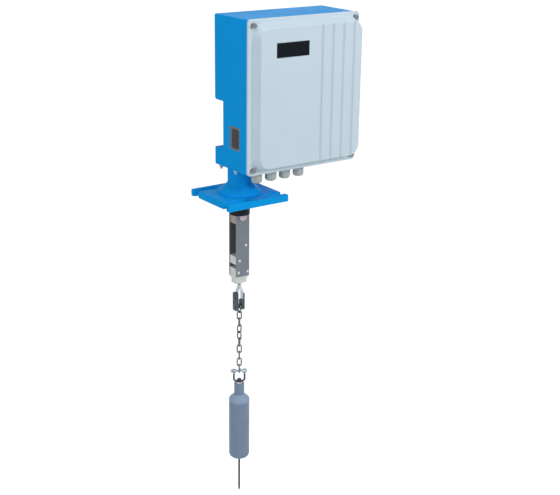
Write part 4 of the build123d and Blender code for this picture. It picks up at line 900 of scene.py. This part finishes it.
@dataclass
class SidePlate:
    """The nameplate on the housing's left side: a bare dark field and four drive pins."""

    front_margin: float = 4.5 * MM
    back_margin: float = 13.0 * MM
    end_margin: float = 6.5 * MM
    recess: float = 0.25 * MM
    edge_round: float = 0.15 * MM
    pin_radius: float = 1.6 * MM
    pin_foot: float = 0.4 * MM
    pin_inset: float = 3.2 * MM
    pin_rows: int = 6
    pin_columns: int = 20
    pole: float = 0.01 * MM

    def build(self) -> None:
        """Stands the plate, its field and its pins in place of the CAD node.

        A pin's head is a quarter ellipse from its rim to its pole, over a short foot.
        """
        low, high, _ = limits("side_plate")
        face = low[0] + self.recess
        plate = Piece("nameplate", Palette.PLATE_METAL, edge_round=self.edge_round)
        plate.add(slab((face, low[1], low[2]), high)).ride("side_plate")
        field_low = (face - self.recess / 2, low[1] + self.front_margin, low[2] + self.end_margin)
        field_high = (face + self.recess, high[1] - self.back_margin, high[2] - self.end_margin)
        Piece("nameplate_field", Palette.PLATE_FIELD).add(slab(field_low, field_high)).ride()
        pins = Piece("nameplate_pins", Palette.SCREW_STEEL)
        angle = np.linspace(0.0, np.pi / 2, self.pin_rows)
        dome = zip(np.maximum(self.pin_radius * np.cos(angle), self.pole), self.recess * np.sin(angle))
        grid = turned([(self.pin_radius, -self.pin_foot), *dome], self.pin_columns)
        for y in (low[1] + self.pin_inset, high[1] - self.pin_inset):
            for z in (low[2] + self.pin_inset, high[2] - self.pin_inset):
                pins.add(grid, Seat((face, y, z), (-1.0, 0.0, 0.0)))
        pins.ride()


@dataclass
class GlandNuts:
    """The dome nuts of the cable glands: six flats that run out into a round nose with a bore."""

    count: int = 4
    columns: int = 72
    bore: float = 8.1 * MM
    bore_depth: float = 6.0 * MM
    bore_bevel: float = 0.5 * MM
    nose: float = 9.0 * MM
    nose_rows: int = 9
    rim: float = 2.2 * MM
    rim_top: float = 1.2 * MM
    rim_step: float = 0.9 * MM
    flat_share: float = 0.925
    flats_from: float = 0.12
    flats_grow: float = 6.0
    turn_step: float = 0.35
    sharp_angle: float = 22.0

    def build(self) -> None:
        """Stands one nut in place of each solid of the CAD node, each a little further turned."""
        low, high, middle = limits("gland_nuts")
        radius = (high[1] - low[1]) / 2
        grid = turned(self.profile(radius, low[2], high[2]), self.columns, self.swell)
        nuts = Piece("gland_nut_row", Palette.GLAND_GREY, sharp_angle=self.sharp_angle)
        for number, x in enumerate(np.linspace(low[0] + radius, high[0] - radius, self.count)):
            nuts.add(grid, Seat((x, middle[1], 0.0), turn=self.turn_step * number))
        nuts.ride("gland_nuts")

    def profile(self, radius: float, bottom: float, top: float) -> list[tuple[float, float]]:
        """The nut's rows: down its bore, round the quarter circle of its nose, up to the stepped rim.

        Args:
            radius: the nut's radius over its corners.
            bottom: height of the nose's end.
            top: height of the rim's upper face.

        Returns:
            Radius and height of each row.
        """
        angle = np.linspace(0.0, np.pi / 2, self.nose_rows)
        nose_r = radius - self.nose + self.nose * np.sin(angle)
        nose_z = bottom + self.nose - self.nose * np.cos(angle)
        neck = radius - self.rim_step
        return [(self.bore, bottom + self.bore_depth), (self.bore, bottom + self.bore_bevel),
                (self.bore + self.bore_bevel, bottom), *zip(nose_r, nose_z),
                (radius, top - self.rim), (neck, top - self.rim_top), (neck, top)]

    def swell(self, share: np.ndarray, angle: np.ndarray) -> np.ndarray:
        """Draws the rows in to six flats, more and more with a row's share along the profile."""
        cut = 1.0 - np.minimum(1.0, hexagon(angle, self.flat_share))
        return 1.0 - cut * np.clip((share - self.flats_from) * self.flats_grow, 0.0, 1.0)


@dataclass
class DomeScrews:
    """Small domed screws with a hexagon recess, in place of one CAD node of plain ones."""

    node: str
    finish: Palette
    height: float
    recess: float
    shank: float
    shank_length: float = 7.9 * MM
    columns: int = 36
    rows: int = 8
    first_angle: float = 0.25
    rim_share: float = 0.35
    mouth: float = 1.15
    floor: float = 0.98
    depth_share: float = 0.5
    bevel: float = 0.1 * MM
    recess_share: float = 0.12
    sharp_angle: float = 30.0

    def build(self) -> None:
        """Stands a screw in place of each solid of the CAD node.

        A screw's axis is the one along which its solid is longest, and its head is at the end further
        from the part's own axis.
        """
        screws = Piece(f"{self.node}_domed", self.finish, sharp_angle=self.sharp_angle)
        for low, high in solid_boxes(self.node):
            along = int(np.argmax(high - low))
            origin = (low + high) / 2
            way = 1.0 if origin[along] > 0 else -1.0
            origin[along] = (high if way > 0 else low)[along] - way * self.height
            axis = tuple(way if at == along else 0.0 for at in range(3))
            radius = np.delete(high - low, along).max() / 2
            screws.add(self.screw(radius), Seat(tuple(origin), axis))
        screws.ride(self.node)

    def screw(self, radius: float) -> np.ndarray:
        """Points of one screw, its head's seat at zero and its dome, a part of an ellipse, along +Z.

        Args:
            radius: the head's radius.

        Returns:
            The grid: up the recess wall, over the dome, down the rim, and along the shank.
        """
        angle = np.linspace(self.first_angle, np.pi / 2, self.rows)
        dome_r = radius * np.sin(angle)
        dome_z = self.height * (self.rim_share + (1 - self.rim_share) * np.cos(angle))
        dome_r[0] = self.recess * self.mouth
        bottom = dome_z[0] - self.height * self.depth_share
        profile = [(self.recess * self.floor, bottom), (self.recess, dome_z[0] - self.bevel),
                   *zip(dome_r, dome_z), (radius, 0.0), (self.shank, 0.0), (self.shank, -self.shank_length)]
        return turned(profile, self.columns, self.swell)

    def swell(self, share: np.ndarray, angle: np.ndarray) -> np.ndarray:
        """Makes the recess's rows a hexagon inside their radius and leaves the others round."""
        return np.where(share < self.recess_share, hexagon(angle, np.cos(np.pi / 6)), 1.0)


@dataclass
class ShoulderShadows:
    """Painted shadow: the dark crescents round the shoulder screws' heads."""

    rim: float = 1.3 * MM
    thick: float = 0.6 * MM
    steps: int = 40

    def build(self) -> None:
        """Adds a crescent of painted shadow under each head, on the channel's faces.

        Its path is the part of a circle about the head that lies below the head's highest point.
        """
        low, high, _ = limits("shoulder_screws")
        channel_low, channel_high, _ = limits("stripper_channel")
        head = (high[0] - low[0]) / 2
        middle = low[2] + head
        cut = np.arcsin((high[2] - middle) / (head + self.rim))
        angle = np.linspace(cut, -np.pi - cut, self.steps)
        half, depth = self.rim / 2, self.thick / 2
        section = CORNERS * (half, depth)
        x, z = (head + half) * np.cos(angle), middle + (head + half) * np.sin(angle)
        # painted shadow round each head, in the collar's black
        shadow_crescents = Piece("shoulder_shadow_crescents", Palette.COLLAR_BLACK)
        for y in (channel_low[1] - depth, channel_high[1] + depth):
            shadow_crescents.add(carried(np.column_stack([x, np.full(self.steps, y), z]), section, Y_AXIS))
        shadow_crescents.ride()


@dataclass
class SleevePacking:
    """The two packing strips that fill the stripper's channel beside its sleeve."""

    thick: float = 5.5 * MM
    slack: float = 0.4 * MM
    sheet: float = 2.0 * MM
    drop: float = 2.0 * MM
    edge_round: float = 0.6 * MM

    def build(self) -> None:
        """Adds a strip on each side of the sleeve, from just under the collar to the sleeve's end."""
        sleeve_low, sleeve_high, _ = limits("stripper_sleeve")
        _, channel_high, _ = limits("stripper_channel")
        packing = Piece("sleeve_packing", Palette.PACKING_TAN, edge_round=self.edge_round)
        inner = sleeve_high[0] + self.slack
        outer = inner + self.thick
        side = channel_high[1] - self.sheet - self.slack
        for left, right in ((-outer, -inner), (inner, outer)):
            packing.add(slab((left, -side, sleeve_low[2]), (right, side, channel_high[2] - self.drop)))
        packing.ride()


@dataclass
class TapeRun:
    """The steel tape below the measuring wheel, slightly crowned."""

    width: float = 12.0 * MM
    thick: float = 0.3 * MM
    crown: float = 0.05 * MM
    rows: int = 240
    columns: int = 7
    clamped: float = 9.0 * MM

    def build(self) -> None:
        """Stands the tape in place of the CAD node.

        Its section is a parabola across the tape, as high as the crown, with the sheet's thickness.
        """
        low, high, _ = limits("tape_run")
        across = np.linspace(-0.5, 0.5, self.columns)
        bow = self.crown * (1 - 4 * across ** 2) - self.crown / 2
        half = self.thick / 2 - self.crown / 2
        front = np.column_stack([bow - half, across * self.width])
        back = np.column_stack([bow + half, across * self.width])[::-1]
        section = np.concatenate([front, back])
        z = np.linspace(low[2], high[2], self.rows)
        points = np.stack([np.column_stack([section, np.full(len(section), height)]) for height in z])
        tape = Piece("tape_strip", Palette.TAPE_STEEL).add(points)
        tape.stretch("tape_run", Body.STAND, Body.TAPE_END, (0, 0, high[2]), (0, 0, low[2] + self.clamped))


@dataclass
class ArmSpring:
    """The tension arm's pull spring."""

    wire: float = 0.8 * MM
    turns: int = 6
    steps: int = 24

    def build(self) -> None:
        """Stands a helix in place of the CAD node."""
        low, high, (x, y, _) = limits("arm_spring")
        radius = (high[0] - low[0]) / 2 - self.wire
        count = self.turns * self.steps + 1
        angle = np.linspace(0.0, 2 * np.pi * self.turns, count)
        z = np.linspace(low[2] + self.wire, high[2] - self.wire, count)
        path = np.column_stack([x + radius * np.cos(angle), y + radius * np.sin(angle), z])
        spring = Piece("arm_spring_coil", Palette.GROUND_STEEL)
        spring.add(carried(path, circle(self.wire, WIRE_POINTS)))
        spring.stretch("arm_spring", Body.STAND, Body.ARM, (x, y, low[2]), (x, y, high[2]))


@dataclass
class LinkSeams:
    """The butt weld on one side of each chain link: a low bead round the wire."""

    swell: float = 0.22 * MM
    sink: float = 0.05 * MM
    length: float = 5.0 * MM
    roundness: float = 1.5
    rows: int = 11
    columns: int = 20

    def build(self) -> None:
        """Adds a bead to every link, on one side and the other by turns.

        The main axes of a link's points in the XY plane are its longer and shorter direction there. At
        share s of its half length the bead is higher than the wire by its swell times (1 - s s) to the
        power of its roundness, and it starts a little inside the wire.
        """
        share = np.linspace(-1.0, 1.0, self.rows)
        rise = (self.swell + self.sink) * (1 - share ** 2) ** self.roundness - self.sink
        for number in LINKS:
            points = node_points(f"chain_link_{number}")
            x, y, z = (points.min(axis=0) + points.max(axis=0)) / 2
            flat = points[:, :2] - (x, y)
            _, _, axes = np.linalg.svd(flat, full_matrices=False)
            reach, wire = np.abs(flat @ axes.T).max(axis=0)
            across, back = axes[0] * (1 if number % 2 else -1) * (reach - wire)
            grid = turned(list(zip(wire + rise, share * self.length / 2)), self.columns)
            bead = Piece(f"link_seam_{number}", Palette.CHAIN_STEEL)
            made = bead.add(grid, Seat((x + across, y + back, z))).build()
            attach(made, f"link_{number}")
        LOG.info("link_seam_%d to link_seam_%d ride on their links", LINKS[0], LINKS[-1])


@dataclass
class SplitPinEye:
    """The ring of the split pin that keeps the shackle's pin in place."""

    ring: float = 1.9 * MM
    wire: float = 0.7 * MM
    top: float = 0.2 * MM
    axis: Triple = (0.5, 0.866, 0.0)
    columns: int = 28

    def build(self) -> None:
        """Adds the ring, a circle turned about an axis beside it, on top of the straight leg."""
        points = node_points("shackle_pin")
        x, y, z = points[points[:, 2] > points[:, 2].max() - self.top].mean(axis=0)
        section = circle(self.wire, WIRE_POINTS) + (self.ring, 0.0)
        seat = Seat((x, y, z + self.ring - self.wire), self.axis)
        eye = Piece("split_pin_eye", Palette.SHACKLE_STEEL)
        eye.add(turned(section, self.columns), seat, ring=True).ride(body=Body.SHACKLE)


@dataclass
class TapeCoil:
    """The wound tape on the drum, whose turns show as fine steps on both sides."""

    turns: int = 36
    step: float = 0.12 * MM
    columns: int = 96
    sharp_angle: float = 30.0

    def build(self) -> None:
        """Stands the coil in place of the CAD node, every other turn a step narrower."""
        low, high, centre = limits("tape_coil")
        outer, half, _ = (high - low) / 2
        points = node_points("tape_coil") - centre
        inner = np.min(np.hypot(points[:, 0], points[:, 2]))
        radius = np.repeat(np.linspace(inner, outer, self.turns + 1), 2)[1:-1]
        edge = half - self.step * (np.arange(len(radius)) // 2 % 2)
        profile = [*zip(radius, -edge), *zip(radius[::-1], edge[::-1])]
        coil = Piece("tape_coil_turns", Palette.TAPE_STEEL, sharp_angle=self.sharp_angle)
        coil.add(turned(profile, self.columns), Seat(tuple(centre), Y_AXIS), ring=True)
        coil.ride("tape_coil", body=Body.DRUM)


@dataclass
class BoardParts:
    """Chips, relays and capacitors on the circuit board inside the front compartment.

    Each row starts with a part's place, as shares of the board's width and height. Then come a chip's
    width, height and depth, or a can's radius and length, in millimetres.
    """

    chips: tuple[tuple[float, ...], ...] = (
        (0.20, 0.70, 14.0, 14.0, 2.0),
        (0.42, 0.72, 20.0, 9.0, 3.0),
        (0.42, 0.52, 20.0, 9.0, 3.0),
        (0.66, 0.62, 24.0, 24.0, 3.5),
        (0.20, 0.42, 16.0, 12.0, 14.0),
        (0.88, 0.72, 18.0, 28.0, 16.0),
        (0.88, 0.38, 18.0, 28.0, 16.0),
    )
    cans: tuple[tuple[float, ...], ...] = (
        (0.30, 0.42, 5.0, 16.0),
        (0.55, 0.36, 6.5, 20.0),
        (0.62, 0.36, 4.0, 12.0),
        (0.72, 0.30, 4.0, 12.0),
    )
    edge_round: float = 0.3 * MM
    columns: int = 28

    def build(self) -> None:
        """Adds the parts on the front face of the board."""
        low, high, _ = limits("circuit_board")
        size = high - low
        chips = Piece("board_chips", Palette.FITTING_BLACK, edge_round=self.edge_round)
        for across, up, width, height, depth in self.chips:
            middle = low + size * (across, 0.0, up)
            half = np.array([width, 0.0, height]) * MM / 2
            chips.add(slab(middle - half - (0.0, depth * MM, 0.0), middle + half))
        chips.ride()
        cans = Piece("board_capacitors", Palette.MACHINED_ALLOY, edge_round=self.edge_round)
        for across, up, radius, length in self.cans:
            foot = low + size * (across, 0.0, up)
            profile = [(radius * MM, 0.0), (radius * MM, length * MM)]
            cans.add(turned(profile, self.columns), Seat(tuple(foot), (0.0, -1.0, 0.0)))
        cans.ride()


# Studio


def aimed(name: str, data: bpy.types.ID, *axes_and_place: np.ndarray) -> bpy.types.Object:
    """Puts a camera or lamp into the scene and turns it.

    Args:
        name: the object's name.
        data: the camera or lamp.
        axes_and_place: its X axis, its Y axis, its Z axis, against which it looks, and its place.

    Returns:
        The object.
    """
    made = shown(name, data)
    matrix = np.eye(4)
    matrix[:3] = np.column_stack(axes_and_place)
    made.matrix_world = Matrix(matrix.tolist())
    return made


@dataclass
class PhotoCamera:
    """The camera of the photograph, as fitted to the object's corners."""

    yaw: float = -35.8
    pitch: float = 19.1
    roll: float = 0.8
    distance: float = 3.5326
    aside: float = 0.1278
    above: float = -0.1554
    lens: float = 72.0
    reach: float = 100.0

    def build(self) -> None:
        """Makes the camera and hands it to the scene."""
        yaw, pitch, roll = np.radians([self.yaw, self.pitch, self.roll])
        ahead = np.array([np.sin(-yaw) * np.cos(pitch), np.cos(yaw) * np.cos(pitch), -np.sin(pitch)])
        level = np.array([np.cos(yaw), np.sin(yaw), 0.0])
        over = np.cross(level, ahead)
        right = level * np.cos(roll) + over * np.sin(roll)
        up = over * np.cos(roll) - level * np.sin(roll)
        place = -ahead * self.distance + right * self.aside + up * self.above
        data = bpy.data.cameras.new("photo_camera")
        data.lens = self.lens
        data.clip_end = self.reach
        bpy.context.scene.camera = aimed("photo_camera", data, right, up, -ahead, place)


@dataclass
class Lamp:
    """One soft area lamp that looks at a point."""

    name: str
    place: Triple
    aim: Triple
    size: float
    power: float

    def build(self) -> None:
        """Makes the lamp and turns it to its aim."""
        data = bpy.data.lights.new(self.name, "AREA")
        data.shape = "DISK"
        data.size = self.size
        data.energy = self.power
        back = np.array(self.place) - self.aim
        back /= np.linalg.norm(back)
        right = np.cross(Z_AXIS, back)
        right /= np.linalg.norm(right)
        aimed(self.name, data, right, np.cross(back, right), back, self.place)


@dataclass
class Studio:
    """A white surround: pale floor, white world and soft lamps at a plain level."""

    floor_height: float = -2.4
    floor_reach: float = 40.0
    floor_white: float = 0.85
    floor_rough: float = 0.9
    floor_glow: float = 0.66
    sky: float = 0.44
    lamps: tuple[Lamp, ...] = (
        Lamp("key_lamp", (2.0, -3.2, 1.8), (0.1, 0.0, 0.0), 1.2, 60.0),
        Lamp("left_lamp", (-3.4, -1.6, 0.6), (0.0, 0.0, 0.0), 1.8, 36.0),
        Lamp("top_lamp", (-0.2, -1.0, 3.4), (0.1, 0.0, 0.2), 1.4, 22.0),
        Lamp("back_lamp", (2.4, 3.0, -0.5), (0.1, 0.0, 0.0), 2.4, 12.0),
    )

    def build(self) -> None:
        """Makes the world, the floor and the lamps."""
        bpy.context.scene.view_settings.view_transform = "Standard"
        self.world()
        self.floor()
        for lamp in self.lamps:
            lamp.build()

    def world(self) -> None:
        """Makes the world white to the camera and in reflections, and a soft even light elsewhere."""
        world = bpy.data.worlds.new("white_surround")
        graph = Graph(world, "Background")
        graph.coat(Color=WHITE, Strength=graph.fade(graph.shown_rays(), 0.0, 1.0, self.sky, 1.0))
        bpy.context.scene.world = world

    def floor(self) -> None:
        """Makes a wide pale floor well below the object, which runs into the surround."""
        mesh = bpy.data.meshes.new("floor")
        corners = [(self.floor_reach * x, self.floor_reach * y, self.floor_height) for x, y in CORNERS]
        mesh.from_pydata(corners, [], [(0, 1, 2, 3)])
        mesh.materials.append(bpy.data.materials.new("floor_white"))
        graph = Graph(mesh.materials[0])
        pale = (self.floor_white, self.floor_white, self.floor_white, 1.0)
        glow = graph.fade(graph.shown_rays(), 0.0, 1.0, 0.0, self.floor_glow)
        graph.coat(Base_Color=pale, Roughness=self.floor_rough, Emission_Color=WHITE, Emission_Strength=glow)
        shown("floor", mesh)


def main() -> None:
    """Dresses the nodes, builds the fine pieces and sets up the studio."""
    logging.basicConfig(level=logging.INFO, format="%(name)s: %(message)s")
    stripper_screws = DomeScrews("stripper_screws", Palette.ZINC_STEEL, height=2.8 * MM, recess=1.6 * MM,
                                 shank=1.98 * MM)
    rear_screws = DomeScrews("rear_cover_screws", Palette.SCREW_STEEL, height=2.2 * MM, recess=1.7 * MM,
                             shank=2.45 * MM)
    for part in (DressedNodes(), FrontLabel(), SidePlate(), GlandNuts(), ShoulderShadows(), SleevePacking(),
                 TapeRun(), ArmSpring(), LinkSeams(), SplitPinEye(), TapeCoil(), BoardParts(),
                 stripper_screws, rear_screws, Studio(), PhotoCamera()):
        part.build()
        LOG.info("%s is done", type(part).__name__)


if __name__ == "__main__":
    main()
